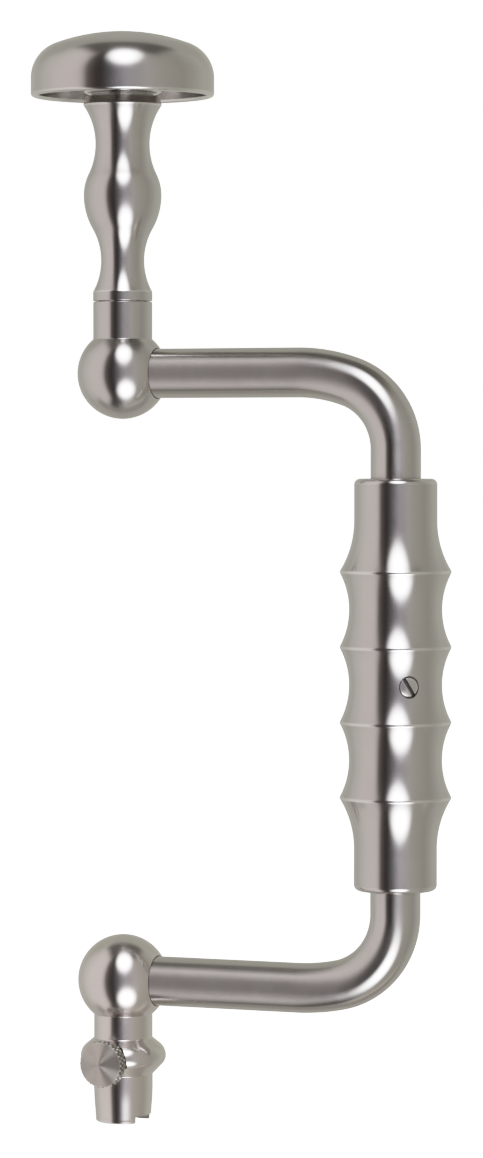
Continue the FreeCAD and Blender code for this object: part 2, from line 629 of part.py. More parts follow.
def make_rest_handle():
    """Waisted handle: band, waist, bulge, waist and flare, bored for the bearings."""
    body = new_body("rest_handle")
    waist, waist_z = cell("handle_waist_diameter"), WAIST_LEVEL
    bulge, bulge_z = cell("handle_bulge_diameter"), BULGE_LEVEL
    neck, neck_z = cell("handle_neck_diameter"), UPPER_WAIST_LEVEL
    waist_curve, neck_curve = cell("handle_waist_radius"), cell("handle_neck_radius")
    low_curve = blend_radius(bulge, waist, bulge_z, waist_z, waist_curve)
    high_curve = blend_radius(bulge, neck, bulge_z, neck_z, neck_curve)
    low_share = f"({waist_curve} / ({waist_curve} + {low_curve}))"
    high_share = f"({neck_curve} / ({neck_curve} + {high_curve}))"
    low_meet = (f"{waist} / 2 + ({bulge} - {waist}) / 2 * {low_share}",
                f"{waist_z} + ({bulge_z} - {waist_z}) * {low_share}")
    high_meet = (f"{neck} / 2 + ({bulge} - {neck}) / 2 * {high_share}",
                 f"{neck_z} - ({neck_z} - {bulge_z}) * {high_share}")
    band, flare = half("handle_band_diameter"), half("handle_flare_diameter")
    band_top = f"{waist_z} - sqrt({waist_curve}^2 - ({waist} / 2 + {waist_curve} - {band})^2)"
    flare_z = f"{neck_z} + sqrt({neck_curve}^2 - ({neck} / 2 + {neck_curve} - {flare})^2)"
    seat, bore = half("race_seat_diameter"), half("handle_bore_diameter")
    room = half("nut_room_diameter")
    tapped = f"{half('knob_stub_diameter')} + {GAP}"
    tapped_floor = f"{STUB_BOTTOM} - {cell('stub_end_room')}"
    steps = [
        (f"{band} - {SEAM_CHAMFER}", HANDLE_FOOT),
        (band, f"{HANDLE_FOOT} + {SEAM_CHAMFER}"),
        (band, band_top),
        (f"{waist} / 2", waist_z, waist_curve, -1),
        (*low_meet, waist_curve, -1),
        (f"{bulge} / 2", bulge_z, low_curve, 1),
        (*high_meet, high_curve, 1),
        (f"{neck} / 2", neck_z, neck_curve, -1),
        (flare, flare_z, neck_curve, -1),
        (half("handle_top_diameter"), HANDLE_TOP),
        (tapped, HANDLE_TOP),
        (tapped, tapped_floor),
        (room, tapped_floor),
        (room, NUT_ROOM_FLOOR),
        (bore, NUT_ROOM_FLOOR),
        (bore, RACE_SEAT),
        (seat, RACE_SEAT),
    ]
    revolve(body, "turned_handle", (seat, HANDLE_FOOT), steps)


def make_rest_bushes():
    """Plain lower bush and flanged upper bush between the handle and the spindle."""
    inner = f"{half('spindle_diameter')} + {RUN}"
    outer = f"{half('handle_bore_diameter')} - {GAP}"
    ring_piece("lower_bush", f"2 * ({inner})", f"2 * ({outer})", RACE_SEAT,
               f"{RACE_SEAT} + {cell('bush_length')}")
    body = new_body("upper_bush")
    foot = f"{NUT_ROOM_FLOOR} - {cell('bush_length')}"
    flange = half("bush_flange_diameter")
    steps = [
        (outer, foot),
        (outer, NUT_ROOM_FLOOR),
        (flange, NUT_ROOM_FLOOR),
        (flange, FLANGE_TOP),
        (inner, FLANGE_TOP),
    ]
    revolve(body, "flanged_bush", (inner, foot), steps)


def make_spindle_fasteners():
    """Washer and hexagon nut on the spindle's threaded end."""
    hole = f"{cell('spindle_thread_diameter')} + 2 * {GAP}"
    ring_piece("retaining_washer", hole, cell("washer_diameter"), WASHER_BOTTOM, WASHER_TOP)
    body = new_body("retaining_nut")
    flat = half("nut_flats")
    corner = f"({cell('nut_flats')} / sqrt(3))"
    outline = new_sketch(body, "nut_outline", "XY_Plane", offset=WASHER_TOP)
    corners = [
        (corner, "0"),
        (f"{corner} / 2", flat),
        (f"-{corner} / 2", flat),
        (f"-{corner}", "0"),
        (f"-{corner} / 2", f"-{flat}"),
        (f"{corner} / 2", f"-{flat}"),
    ]
    draw(outline, corners[0], corners[1:])
    draw_circle(outline, "0", "0", hole)
    pad = body.newObject("PartDesign::Pad", "hexagon")
    pad.Profile = outline
    bind(pad, "Length", cell("nut_thickness"))
    document.recompute()
    bevel = new_sketch(body, "nut_bevel_outline")
    slope = f"({corner} - {flat}) * tan(30)"
    steps = [
        (f"2 * {corner} - {flat}", f"{NUT_TOP} - 2 * {slope}"),
        (f"2 * {corner} - {flat}", NUT_TOP),
    ]
    draw(bevel, (flat, NUT_TOP), steps)
    groove = body.newObject("PartDesign::Groove", "nut_bevel")
    groove.Profile = bevel
    groove.ReferenceAxis = (bevel, ["V_Axis"])
    groove.Angle = 360
    document.recompute()
    if not groove.Shape.Volume < pad.Shape.Volume:
        raise RuntimeError("the nut's bevel cuts nothing")


def make_palm_knob():
    """Hollow mushroom knob with its hub, seat collar and threaded stub."""
    body = new_body("palm_knob")
    top, crown = KNOB_TOP, cell("knob_crown_radius")
    shoulder, wall = cell("knob_shoulder_radius"), cell("knob_wall")
    outside = half("knob_diameter")
    crown_z = f"({top} - {crown})"
    shoulder_x = f"({outside} - {shoulder})"
    reach = f"({crown} - {shoulder})"
    shoulder_z = f"({crown_z} + sqrt({reach}^2 - {shoulder_x}^2))"
    sine, cosine = f"({shoulder_x} / {reach})", f"(sqrt({reach}^2 - {shoulder_x}^2) / {reach})"
    inner_crown, inner_shoulder = f"({crown} - {wall})", f"({shoulder} - {wall})"
    rim, rim_z = f"({wall} / 2)", f"({KNOB_RIM} + {wall} / 2)"
    hub = half("knob_hub_diameter")
    hub_z = f"{HANDLE_TOP} + {cell('knob_hub_lift')}"
    hub_top = f"{crown_z} + sqrt({inner_crown}^2 - ({hub})^2)"
    collar, stub = half("knob_collar_diameter"), half("knob_stub_diameter")
    steps = [
        (stub, STUB_BOTTOM),
        (stub, HANDLE_TOP),
        (collar, HANDLE_TOP),
        (collar, hub_z),
        (hub, hub_z),
        (hub, hub_top),
        (f"{inner_crown} * {sine}", f"{crown_z} + {inner_crown} * {cosine}", inner_crown, -1),
        (f"{outside} - {wall}", shoulder_z, inner_shoulder, -1),
        (f"{outside} - {wall}", rim_z),
        (f"{outside} - {rim}", KNOB_RIM, rim, 1),
        (outside, rim_z, rim, 1),
        (outside, shoulder_z),
        (f"{crown} * {sine}", f"{crown_z} + {crown} * {cosine}", shoulder, 1),
        ("0", top, crown, 1),
    ]
    revolve(body, "turned_knob", ("0", STUB_BOTTOM), steps)


# Side grip, turned about its own axis and set on the crank


def set_on_crank(body):
    """Move a piece that was turned about the origin out to the grip's axis."""
    bind(body, "Placement.Base.x", cell("crank_throw"))


def grip_outline():
    """Return the outer steps of the grip from its lower to its upper corner."""
    smooth, crest = half("grip_end_diameter"), half("grip_ridge_diameter")
    bottom, flare, corner = GRIP_BOTTOM, cell("grip_flare_radius"), cell("grip_end_round")
    pitch, count = RIDGE_PITCH, cell("grip_ridge_count")
    rise = f"({crest} - {smooth})"
    flare_run = f"sqrt(2 * {flare} * {rise} - {rise}^2)"
    first = f"({bottom} + {cell('grip_end_run')})"
    last = f"({GRIP_TOP} - {cell('grip_end_run')})"
    steps = [
        (f"{smooth} - {corner}", bottom),
        (smooth, f"{bottom} + {corner}", corner, 1),
        (smooth, f"{first} - {flare_run}"),
        (crest, first, flare, -1),
    ]
    for index in range(1, int(number(count))):
        steps.append((crest, f"{first} + {index} * {pitch}", cell("grip_valley_radius"), -1))
    steps += [
        (smooth, f"{last} + {flare_run}", flare, -1),
        (smooth, f"{GRIP_TOP} - {corner}"),
        (f"{smooth} - {corner}", GRIP_TOP, corner, 1),
    ]
    return steps


def valley_depth():
    """Return the radius of the grip at the floor of a valley."""
    crest, curve = half("grip_ridge_diameter"), cell("grip_valley_radius")
    return f"({crest} + sqrt({curve}^2 - ({RIDGE_PITCH} / 2)^2) - {curve})"


def make_grip_sleeve():
    """Ridged sleeve with a seat for a bush at each end and a tapped hole for its screw."""
    body = new_body("grip_sleeve")
    seat, bore = half("grip_bush_diameter"), half("grip_bore_diameter")
    depth = f"{cell('grip_bush_length')} + {cell('grip_bush_recess')}"
    low_shoulder, high_shoulder = f"{GRIP_BOTTOM} + {depth}", f"{GRIP_TOP} - ({depth})"
    inside = [
        (seat, GRIP_TOP),
        (seat, high_shoulder),
        (bore, high_shoulder),
        (bore, low_shoulder),
        (seat, low_shoulder),
    ]
    sleeve = revolve(body, "turned_sleeve", (seat, GRIP_BOTTOM), grip_outline() + inside)
    crest = number(half("grip_ridge_diameter"))
    crests = [f"Edge{index + 1}" for index, edge in enumerate(sleeve.Shape.Edges)
              if isinstance(edge.Curve, Part.Circle) and abs(edge.Curve.Radius - crest) < 1e-3]
    rounding = body.newObject("PartDesign::Fillet", "rounded_crests")
    rounding.Base = (sleeve, crests)
    bind(rounding, "Radius", cell("grip_ridge_round"))
    document.recompute()
    hole = new_sketch(body, "set_screw_circle", turn=cell("set_screw_angle"))
    draw_circle(hole, "0", GRIP_MIDDLE, f"{cell('set_screw_diameter')} + 2 * {GAP}")
    cut(body, "set_screw_hole", hole, cell("grip_ridge_diameter"))
    set_on_crank(body)


def make_grip_bushes():
    """The two bushes that carry the grip on the bar."""
    inner = f"{cell('rod_diameter')} + 2 * {RUN}"
    outer = f"{cell('grip_bush_diameter')} - 2 * {GAP}"
    length, recess = cell("grip_bush_length"), cell("grip_bush_recess")
    low = f"{GRIP_BOTTOM} + {recess}"
    high = f"{GRIP_TOP} - {recess}"
    set_on_crank(ring_piece("grip_bush_lower", inner, outer, low, f"{low} + {length}"))
    set_on_crank(ring_piece("grip_bush_upper", inner, outer, f"{high} - {length}", high))


def side_placement(x, z, angle, roll):
    """Return the placement of a screw whose own Z axis points out of the column or grip."""
    turn = math.radians(angle)
    outward = Vector(math.sin(turn), -math.cos(turn), 0)
    upright = FreeCAD.Rotation(Vector(), Vector(0, 0, 1), outward, "ZYX")
    return FreeCAD.Placement(Vector(x, 0, z), upright * FreeCAD.Rotation(Vector(0, 0, 1), roll))


def make_grip_set_screw():
    """Slotted set screw whose dog point runs in the bar's groove."""
    body = new_body("grip_set_screw")
    point, thread = half("set_screw_point_diameter"), half("set_screw_diameter")
    tip = f"{GROOVE_FLOOR} + {cell('groove_floor_gap')}"
    shoulder = f"{ROD_RADIUS} + {cell('set_screw_body_gap')}"
    face = f"{valley_depth()} - {cell('set_screw_recess')}"
    steps = [
        (point, tip),
        (point, shoulder),
        (f"{thread} - {CHAMFER}", shoulder),
        (thread, f"{shoulder} + {CHAMFER}"),
        (thread, f"{face} - {CHAMFER}"),
        (f"{thread} - {CHAMFER}", face),
        ("0", face),
    ]
    revolve(body, "screw_blank", ("0", tip), steps)
    slot = new_sketch(body, "slot_outline", "XY_Plane", offset=face)
    side, reach = half("set_screw_slot_width"), cell("set_screw_diameter")
    draw(slot, (f"-{side}", f"-{reach}"), [(side, f"-{reach}"), (side, reach), (f"-{side}", reach)])
    cut(body, "slot", slot, cell("set_screw_slot_depth"), along_normal=False)
    body.Placement = side_placement(number(cell("crank_throw")), number(GRIP_MIDDLE),
                                    number(cell("set_screw_angle")),
                                    number(cell("set_screw_slot_tilt")))


# Thumb screw of the chuck, drawn along its own axis from the column's axis


def thumb_placement():
    """Return the placement of both thumb screw pieces."""
    return side_placement(0, number(THUMB_LEVEL), number(cell("thumb_angle")), 0)


def make_thumb_screw_shank():
    """Threaded shank with a bevelled tip and the spigot that the head is pressed on."""
    body = new_body("thumb_screw_shank")
    thread, spigot = half("thumb_thread_diameter"), half("thumb_spigot_diameter")
    tip = f"{half('tool_bore_diameter')} + {cell('thumb_tip_gap')}"
    bevel, back = cell("thumb_tip_bevel"), f"({HEAD_BACK})"
    steps = [
        (f"{thread} - {bevel}", tip),
        (thread, f"{tip} + {bevel}"),
        (thread, back),
        (spigot, back),
        (spigot, f"{back} + {cell('thumb_spigot_length')}"),
        ("0", f"{back} + {cell('thumb_spigot_length')}"),
    ]
    revolve(body, "shank", ("0", tip), steps)
    body.Placement = thumb_placement()


def make_thumb_screw_head():
    """Disc with a shallow cone on its face and a diamond knurl round its rim."""
    body = new_body("thumb_screw_head")
    rim, chamfer = half("thumb_head_diameter"), cell("thumb_rim_chamfer")
    back = f"({HEAD_BACK})"
    front = f"{back} + {cell('thumb_head_thickness')}"
    seat = f"{half('thumb_spigot_diameter')} + {GAP}"
    floor = f"{back} + {cell('thumb_spigot_length')} + {GAP}"
    steps = [
        (f"{rim} - {chamfer}", back),
        (rim, f"{back} + {chamfer}"),
        (rim, f"{front} - {chamfer}"),
        (f"{rim} - {chamfer}", front),
        ("0", f"{front} + {cell('thumb_cone_height')}"),
        ("0", floor),
        (seat, floor),
    ]
    revolve(body, "head_blank", (seat, back), steps)
    middle = f"{back} + {cell('thumb_head_thickness')} / 2"
    side, inside = half("knurl_width"), f"{rim} - {cell('knurl_depth')}"
    outside = f"{rim} + {cell('knurl_depth')}"
    for name, slant in (("left", cell("knurl_angle")), ("right", f"-{cell('knurl_angle')}")):
        groove = new_sketch(body, f"{name}_knurl_outline", "XY_Plane", turn=slant,
                            axis=Vector(1, 0, 0))
        bind(groove, "AttachmentOffset.Base.z", middle)
        draw(groove, (inside, "0"), [(outside, f"2 * {side}"), (outside, f"-2 * {side}")])
        length = cell("thumb_head_diameter")
        first = cut(body, f"{name}_knurl_groove", groove, length, both_ways=True)
        repeat_round(body, f"{name}_knurl", [first], cell("knurl_count"))
    body.Placement = thumb_placement()


# Build, check and write


def check_and_write():
    """Check every object and sub-part, then write one STEP file for each sub-part."""
    document.recompute()
    for item in document.Objects:
        if "Invalid" in item.State or "Error" in item.State:
            raise RuntimeError(f"{item.Label} failed: {item.State}")
    for node in nodes:
        if node.Shape.isNull() or not node.Shape.isValid():
            raise RuntimeError(f"{node.Label} has no valid shape")
        if len(node.Shape.Solids) != 1:
            raise RuntimeError(f"{node.Label} is {len(node.Shape.Solids)} solids")
    os.makedirs("parts", exist_ok=True)
    for node in nodes:
        node.Shape.exportStep(f"parts/{node.Label}.step")
        print(f"{node.Label}: {node.Shape.Volume:.1f} mm3")


make_crank_rod()
make_upper_ball_boss()
make_chuck_body()
make_rest_spindle()
make_thrust_bearing()
make_rest_handle()
make_rest_bushes()
make_spindle_fasteners()
make_palm_knob()
make_grip_sleeve()
make_grip_bushes()
make_grip_set_screw()
make_thumb_screw_shank()
make_thumb_screw_head()
check_and_write()
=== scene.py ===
"""Looks of a cranial hand brace: a satin steel crank with a palm rest, a ridged side grip,
a notched tool chuck and a thumb screw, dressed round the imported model.

Sizes in the classes are millimetres and degrees; meshes are made in metres. The origin is
the centre of the chuck's mouth, +Z runs up the column and the crank stands out along +X.
"""

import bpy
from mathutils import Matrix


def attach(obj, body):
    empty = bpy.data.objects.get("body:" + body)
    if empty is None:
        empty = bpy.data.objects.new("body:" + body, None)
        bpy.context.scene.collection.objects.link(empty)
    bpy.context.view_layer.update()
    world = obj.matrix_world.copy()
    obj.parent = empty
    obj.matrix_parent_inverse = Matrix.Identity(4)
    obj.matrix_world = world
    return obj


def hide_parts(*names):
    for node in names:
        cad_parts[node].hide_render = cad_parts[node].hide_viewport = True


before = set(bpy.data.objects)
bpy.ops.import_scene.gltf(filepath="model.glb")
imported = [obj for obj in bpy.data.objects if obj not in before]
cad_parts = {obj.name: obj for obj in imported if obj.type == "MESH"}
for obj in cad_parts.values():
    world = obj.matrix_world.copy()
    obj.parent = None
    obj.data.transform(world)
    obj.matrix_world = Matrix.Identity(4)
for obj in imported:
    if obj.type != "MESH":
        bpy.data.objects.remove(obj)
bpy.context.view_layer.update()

import logging
import math
from dataclasses import dataclass, field
from enum import Enum
from typing import Callable, Iterable, Optional

import bpy
import numpy as np
from mathutils import Matrix

Array = np.ndarray
Node = bpy.types.Node
Socket = bpy.types.NodeSocket
Object = bpy.types.Object

MM = 0.001
LOG = logging.getLogger("hand_brace")

# Fineness of outlines and surfaces, in millimetres and degrees
ARC_STEP = 2.4  # of an arc from point to point
LONG_RUN = 1.5  # a straight run longer than this gets support points
SUPPORT = 0.25  # from a corner to its support point
MOST_TRIM = 0.45  # share of a run that one rounding takes at most
SHARP_ANGLE = 31.0  # an edge that turns more than this stays sharp
TINY = 1e-9

# Rubbed edges painted paler, partly real rubbing and partly painted highlight, by the tightness
# of a profile's curve (one over its radius)
WORN_HIGHLIGHT_FROM = 0.4
WORN_HIGHLIGHT_SPAN = 0.8  # from the first wear to full wear
FOLD = 2.6  # radians; a profile that turns more folds back and has no edge
CUT_ROW = 0.4  # share of a relief's depth from which a row counts as cut


# Outlines and surfaces


@dataclass
class Outline:
    """A profile in the plane of radius and height, drawn run by run in millimetres.

    Args:
        start: radius and height of the first point.
    """

    start: tuple[float, float]
    runs: list[Array] = field(default_factory=list)
    edges: list[float] = field(default_factory=list)

    def _here(self) -> Array:
        """Return the point that the outline has reached."""
        return self.runs[-1][-1] if self.runs else np.array(self.start, float)

    def line(self, radius: float, height: float, edge: float = 0.0) -> "Outline":
        """Add a straight run.

        A long run gets one more point near each end, so that the shading of a rounded
        corner stays in the corner.

        Args:
            radius: radius at its end.
            height: height at its end.
            edge: how far from the corner at its end the rounding starts.

        Returns:
            The outline itself.
        """
        first, last = self._here(), np.array([radius, height], float)
        length = float(np.hypot(*(last - first)))
        near = SUPPORT / length if length > LONG_RUN else 0.5
        share = np.array([0.0, near, 1.0 - near, 1.0] if near < 0.5 else [0.0, 1.0])
        self.runs.append(first + share[:, None] * (last - first))
        self.edges.append(edge)
        return self

    def arc(self, radius: float, height: float, curve: float, turn: int,
            edge: float = 0.0) -> "Outline":
        """Add the short arc of a given curve to a point.

        The centre lies square to the middle of the chord, on the left of the run for
        turn 1 and on its right for turn -1; the angle grows evenly along the arc.

        Args:
            radius: radius at its end.
            height: height at its end.
            curve: radius of the arc.
            turn: 1 for a left turn and -1 for a right turn.
            edge: how far from the corner at its end the rounding starts.

        Returns:
            The outline itself.
        """
        first, last = self._here(), np.array([radius, height], float)
        chord = last - first
        length = float(np.hypot(*chord))
        rise = math.sqrt(max(curve * curve - length * length / 4, 0.0))
        left = np.array([-chord[1], chord[0]]) / length
        centre = (first + last) / 2 + left * rise * turn
        begin = math.atan2(*(first - centre)[::-1])
        sweep = 2 * math.asin(min(length / (2 * curve), 1.0)) * turn
        count = max(4, int(abs(math.degrees(sweep)) / ARC_STEP) + 1)
        angle = begin + sweep * np.linspace(0.0, 1.0, count)
        points = centre + curve * np.stack([np.cos(angle), np.sin(angle)], axis=1)
        points[0], points[-1] = first, last
        self.runs.append(points)
        self.edges.append(edge)
        return self

    def points(self, closed: bool = False, steps: int = 5) -> Array:
        """Return the whole profile with its marked corners rounded.

        Each marked corner gives way to a parabola that leaves both runs at the same
        distance along them; the corner itself is the parabola's control point.

        Args:
            closed: True if the last point is the first one, as in a ring.
            steps: points inside each rounding.

        Returns:
            An array of radii and heights in millimetres.
        """
        before = [self.edges[-1] if closed else 0.0] + self.edges[:-1]
        after = self.edges if closed else self.edges[:-1] + [0.0]
        trimmed = [trim(run, a, b) for run, a, b in zip(self.runs, before, after)]
        share = np.linspace(0.0, 1.0, steps + 2)[1:-1, None]
        parts: list[Array] = []
        for index, run in enumerate(trimmed):
            parts.append(run if after[index] else run[:-1])
            if after[index]:
                corner = self.runs[index][-1]
                last = trimmed[(index + 1) % len(trimmed)][0]
                parts.append((1 - share) ** 2 * run[-1] + 2 * share * (1 - share) * corner
                             + share ** 2 * last)
        if not closed:
            parts.append(trimmed[-1][-1:])
        whole = np.concatenate(parts)
        whole[np.abs(whole) < TINY] = 0.0
        return whole


def trim(run: Array, start: float, end: float) -> Array:
    """Shorten a polyline by a length at each end.

    Args:
        run: its points.
        start: length to take off its first end.
        end: length to take off its last end.

    Returns:
        The points that are left, with a new one at each cut.
    """
    along = np.concatenate([[0.0], np.cumsum(np.hypot(*np.diff(run, axis=0).T))])
    low = min(start, MOST_TRIM * along[-1])
    high = along[-1] - min(end, MOST_TRIM * along[-1])
    kept = (along > low + 1e-6) & (along < high - 1e-6)
    places = np.concatenate([[low], along[kept], [high]])
    return np.stack([np.interp(places, along, run[:, 0]), np.interp(places, along, run[:, 1])],
                    axis=1)


@dataclass
class Surface:
    """Points in millimetres, quads of their numbers, and a pair of map values per corner.

    Every point also has a mark from 0 to 1 that tells how much of a rubbed edge it is, painted
    paler: partly real rubbing, partly painted highlight.
    """

    points: Array
    quads: Array
    around: Array
    along: Array
    edge_wear_highlight: Array

    def mesh(self, name: str, place: Matrix) -> bpy.types.Mesh:
        """Write the surface to a mesh in metres, with its poles closed and its map.

        Args:
            name: name of the mesh.
            place: where the surface's own frame stands, in millimetres.

        Returns:
            The mesh, smooth with sharp edges marked, its faces pointing outwards.
        """
        moved = self.points @ np.array(place.to_3x3()).T + np.array(place.translation)
        keep = self.quads != np.roll(self.quads, -1, axis=1)
        good = keep.sum(axis=1) >= 3
        faces = [face[mark].tolist() for face, mark in zip(self.quads[good], keep[good])]
        mesh = bpy.data.meshes.new(name)
        mesh.from_pydata((moved * MM).tolist(), [], faces)
        layer = mesh.uv_layers.new(name="turned")
        marks = keep[good]
        values = np.stack([self.around[good][marks], self.along[good][marks]], axis=1)
        layer.data.foreach_set("uv", values.astype(np.float32).ravel())
        # Mark of rubbed edges that the finish paints paler, partly real rubbing and partly
        # painted highlight.
        mark = mesh.attributes.new("worn_edge_highlight", "FLOAT", "POINT")
        mark.data.foreach_set("value", self.edge_wear_highlight.astype(np.float32))
        return mesh


def worn_highlight_rows(profile: Array, closed: bool) -> Array:
    """Return how much of a rubbed edge each point of a profile is.

    The turn at a point is the left angle between its two runs; over the shorter of half
    the runs it gives the curve's tightness. Outward curves tighter than 2.5 mm get the
    mark, fully from 0.8 mm on; the mark paints them paler, partly real rubbing and partly painted
    highlight.

    Args:
        profile: radii and heights, with the solid on the left.
        closed: True for a ring.

    Returns:
        One mark per point.
    """
    step = np.diff(np.concatenate([profile[-1:], profile, profile[:1]]), axis=0)
    length = np.maximum(np.hypot(*step.T), 1e-6)
    cross = step[:-1, 0] * step[1:, 1] - step[:-1, 1] * step[1:, 0]
    turn = np.arctan2(cross, (step[:-1] * step[1:]).sum(axis=1))
    tight = turn / np.clip(np.minimum(length[:-1], length[1:]), 0.02, 1.0)
    mark = np.clip((tight - WORN_HIGHLIGHT_FROM) / WORN_HIGHLIGHT_SPAN, 0.0, 1.0) * (np.abs(turn) < FOLD)
    if not closed:
        mark[[0, -1]] = 0.0
    return mark


def grid_surface(points: Array, wrap_rows: bool, wrap_columns: bool, along: Array,
                 edge_wear_highlight: Optional[Array] = None) -> Surface:
    """Join a grid of points into quads.

    A quad joins point (row, column) with the next column and the next row; a wrapped
    side joins its last line to its first. Around is the column's share of a turn, and
    along is the length of the profile up to the row.

    Args:
        points: array of rows by columns by three coordinates.
        wrap_rows: True where the last row meets the first.
        wrap_columns: True where the last column meets the first.
        along: length at each row, with one more value where the rows wrap.
        edge_wear_highlight: rubbed-edge mark of each point, partly real rubbing and partly
            painted highlight, if there are any.

    Returns:
        The surface.
    """
    rows, columns = points.shape[:2]
    marks = np.zeros(rows * columns) if edge_wear_highlight is None else edge_wear_highlight.ravel()
    index = np.arange(rows * columns).reshape(rows, columns)
    pole = np.ptp(points, axis=1).max(axis=1) < TINY
    index[pole] = index[pole][:, :1]
    row = np.arange(rows if wrap_rows else rows - 1)[:, None]
    column = np.arange(columns if wrap_columns else columns - 1)[None, :]
    row_next, column_next = (row + 1) % rows, (column + 1) % columns
    quads = np.stack([index[row, column], index[row, column_next],
                      index[row_next, column_next], index[row_next, column]], axis=-1)
    used, compact = np.unique(quads, return_inverse=True)
    share = column / columns
    share_next = (column + 1) / columns
    ones = np.ones_like(row, float)
    around = np.stack([ones * share, ones * share_next, ones * share_next, ones * share], -1)
    low, high = along[row], along[row + 1]
    flat = np.ones_like(column, float)
    lengths = np.stack([low * flat, low * flat, high * flat, high * flat], axis=-1)
    return Surface(points.reshape(-1, 3)[used], compact.reshape(-1, 4),
                   around.reshape(-1, 4), lengths.reshape(-1, 4), marks[used])


def turned(profile: Array, closed: bool = False, columns: int = 256,
           relief: Optional[Callable[[Array, Array, Array], Array]] = None,
           plain: tuple[float, float] = (0.0, 0.0)) -> Surface:
    """Turn a profile about the Z axis.

    Point (s, a) stands at radius r(s) times the cosine and sine of angle a, at height
    z(s). A relief changes the radius by a function of angle, radius and height, and in
    its rows the points that it leaves highest get the rubbed-edge mark, painted paler as
    partly real rubbing and partly painted highlight.

    Args:
        profile: radii and heights.
        closed: True for a ring, whose last point meets its first.
        columns: points round the turn.
        relief: gives the radius from angle, radius and height grids.
        plain: heights between which no edge gets the rubbed-edge mark.

    Returns:
        The surface of revolution.
    """
    angle = np.linspace(0.0, 2 * np.pi, columns, endpoint=False)[None, :]
    radius = np.repeat(profile[:, :1], columns, axis=1)
    height = np.repeat(profile[:, 1:], columns, axis=1)
    edge_wear_highlight = worn_highlight_rows(profile, closed)
    edge_wear_highlight[(profile[:, 1] > plain[0]) & (profile[:, 1] < plain[1])] = 0.0
    marks = np.repeat(edge_wear_highlight[:, None], columns, axis=1)
    if relief is not None:
        low = relief(angle + 0 * radius, radius, height)
        cut = (radius - low) / (radius - low).max()
        marks = np.where(cut.max(axis=1, keepdims=True) > CUT_ROW, 1.0 - cut, marks)
        radius = low
    points = np.stack([radius * np.cos(angle), radius * np.sin(angle), height], axis=-1)
    loop = np.concatenate([profile, profile[:1]]) if closed else profile
    along = np.concatenate([[0.0], np.cumsum(np.hypot(*np.diff(loop, axis=0).T))])
    return grid_surface(points, closed, True, along, marks)


def carried(path: Array, radii: Array, columns: int = 96) -> Surface:
    """Carry a circle along a path in the XZ plane.

    The circle stands square to the path: point (s, a) is the path's point plus the
    radius times cosine a along the path's left side and sine a along Y.

    Args:
        path: points of the path, as X and Z.
        radii: radius of the circle at each point.
        columns: points round the circle.

    Returns:
        The tube, closed at its ends where the radius falls to nothing.
    """
    step = np.gradient(path, axis=0)
    step /= np.hypot(*step.T)[:, None]
    left = np.stack([-step[:, 1], np.zeros(len(path)), step[:, 0]], axis=1)
    centre = np.stack([path[:, 0], np.zeros(len(path)), path[:, 1]], axis=1)
    angle = np.linspace(0.0, 2 * np.pi, columns, endpoint=False)[None, :, None]
    side = np.array([0.0, 1.0, 0.0])
    points = centre[:, None] + radii[:, None, None] * (
        np.cos(angle) * left[:, None] + np.sin(angle) * side)
    along = np.concatenate([[0.0], np.cumsum(np.hypot(*np.diff(path, axis=0).T))])
    return grid_surface(points, False, True, along)


def block(outline: Array, low: float, high: float) -> Surface:
    """Raise a flat outline from one height to another, as a closed block.

    The rows are the outline at the low and at the high level, each shut by a middle
    point.

    Args:
        outline: points in the XY plane, turning left.
        low: lower level.
        high: upper level.

    Returns:
        The block.
    """
    middle = outline.mean(axis=0)
    shares = np.array([0.0, 1.0, 1.0, 0.0])
    levels = np.array([low, low, high, high])
    flat = middle + shares[:, None, None] * (outline - middle)
    heights = np.repeat(levels[:, None, None], len(outline), axis=1)
    points = np.concatenate([flat, heights], axis=-1)
    return grid_surface(points, False, True, np.array([0.0, 1.0, 2.0, 3.0]))


def make(name: str, surface: Surface, place: Matrix = Matrix.Identity(4)) -> Object:
    """Put a surface into a new object of the scene.

    Args:
        name: name of the object and its mesh.
        surface: the surface, in its own frame.
        place: where that frame stands, in millimetres.

    Returns:
        The object, itself unmoved.
    """
    piece = bpy.data.objects.new(name, surface.mesh(name, place))
    bpy.context.scene.collection.objects.link(piece)
    return piece


def carve(piece: Object, cutters: Iterable[Object],
          lining: Optional[bpy.types.Material] = None) -> None:
    """Cut other objects out of a piece and remove them.

    Args:
        piece: the object that is cut, its own map kept.
        cutters: closed objects, used up by the cut.
        lining: material of the cut's faces, where it isn't the piece's own.
    """
    tools = list(cutters)
    if not piece.data.materials:
        piece.data.materials.append(None)
    for tool in tools:
        if lining is not None:
            tool.data.materials.append(lining)
        modifier = piece.modifiers.new(tool.name, "BOOLEAN")
        modifier.operation = "DIFFERENCE"
        modifier.solver = "EXACT"
        modifier.material_mode = "TRANSFER"
        modifier.object = tool
    graph = bpy.context.evaluated_depsgraph_get()
    cut = bpy.data.meshes.new_from_object(piece.evaluated_get(graph),
                                          preserve_all_data_layers=True, depsgraph=graph)
    piece.modifiers.clear()
    whole, piece.data = piece.data, cut
    cut.name = whole.name + "_cut"
    bpy.data.meshes.remove(whole)
    for tool in tools:
        mesh = tool.data
        bpy.data.objects.remove(tool)
        bpy.data.meshes.remove(mesh)


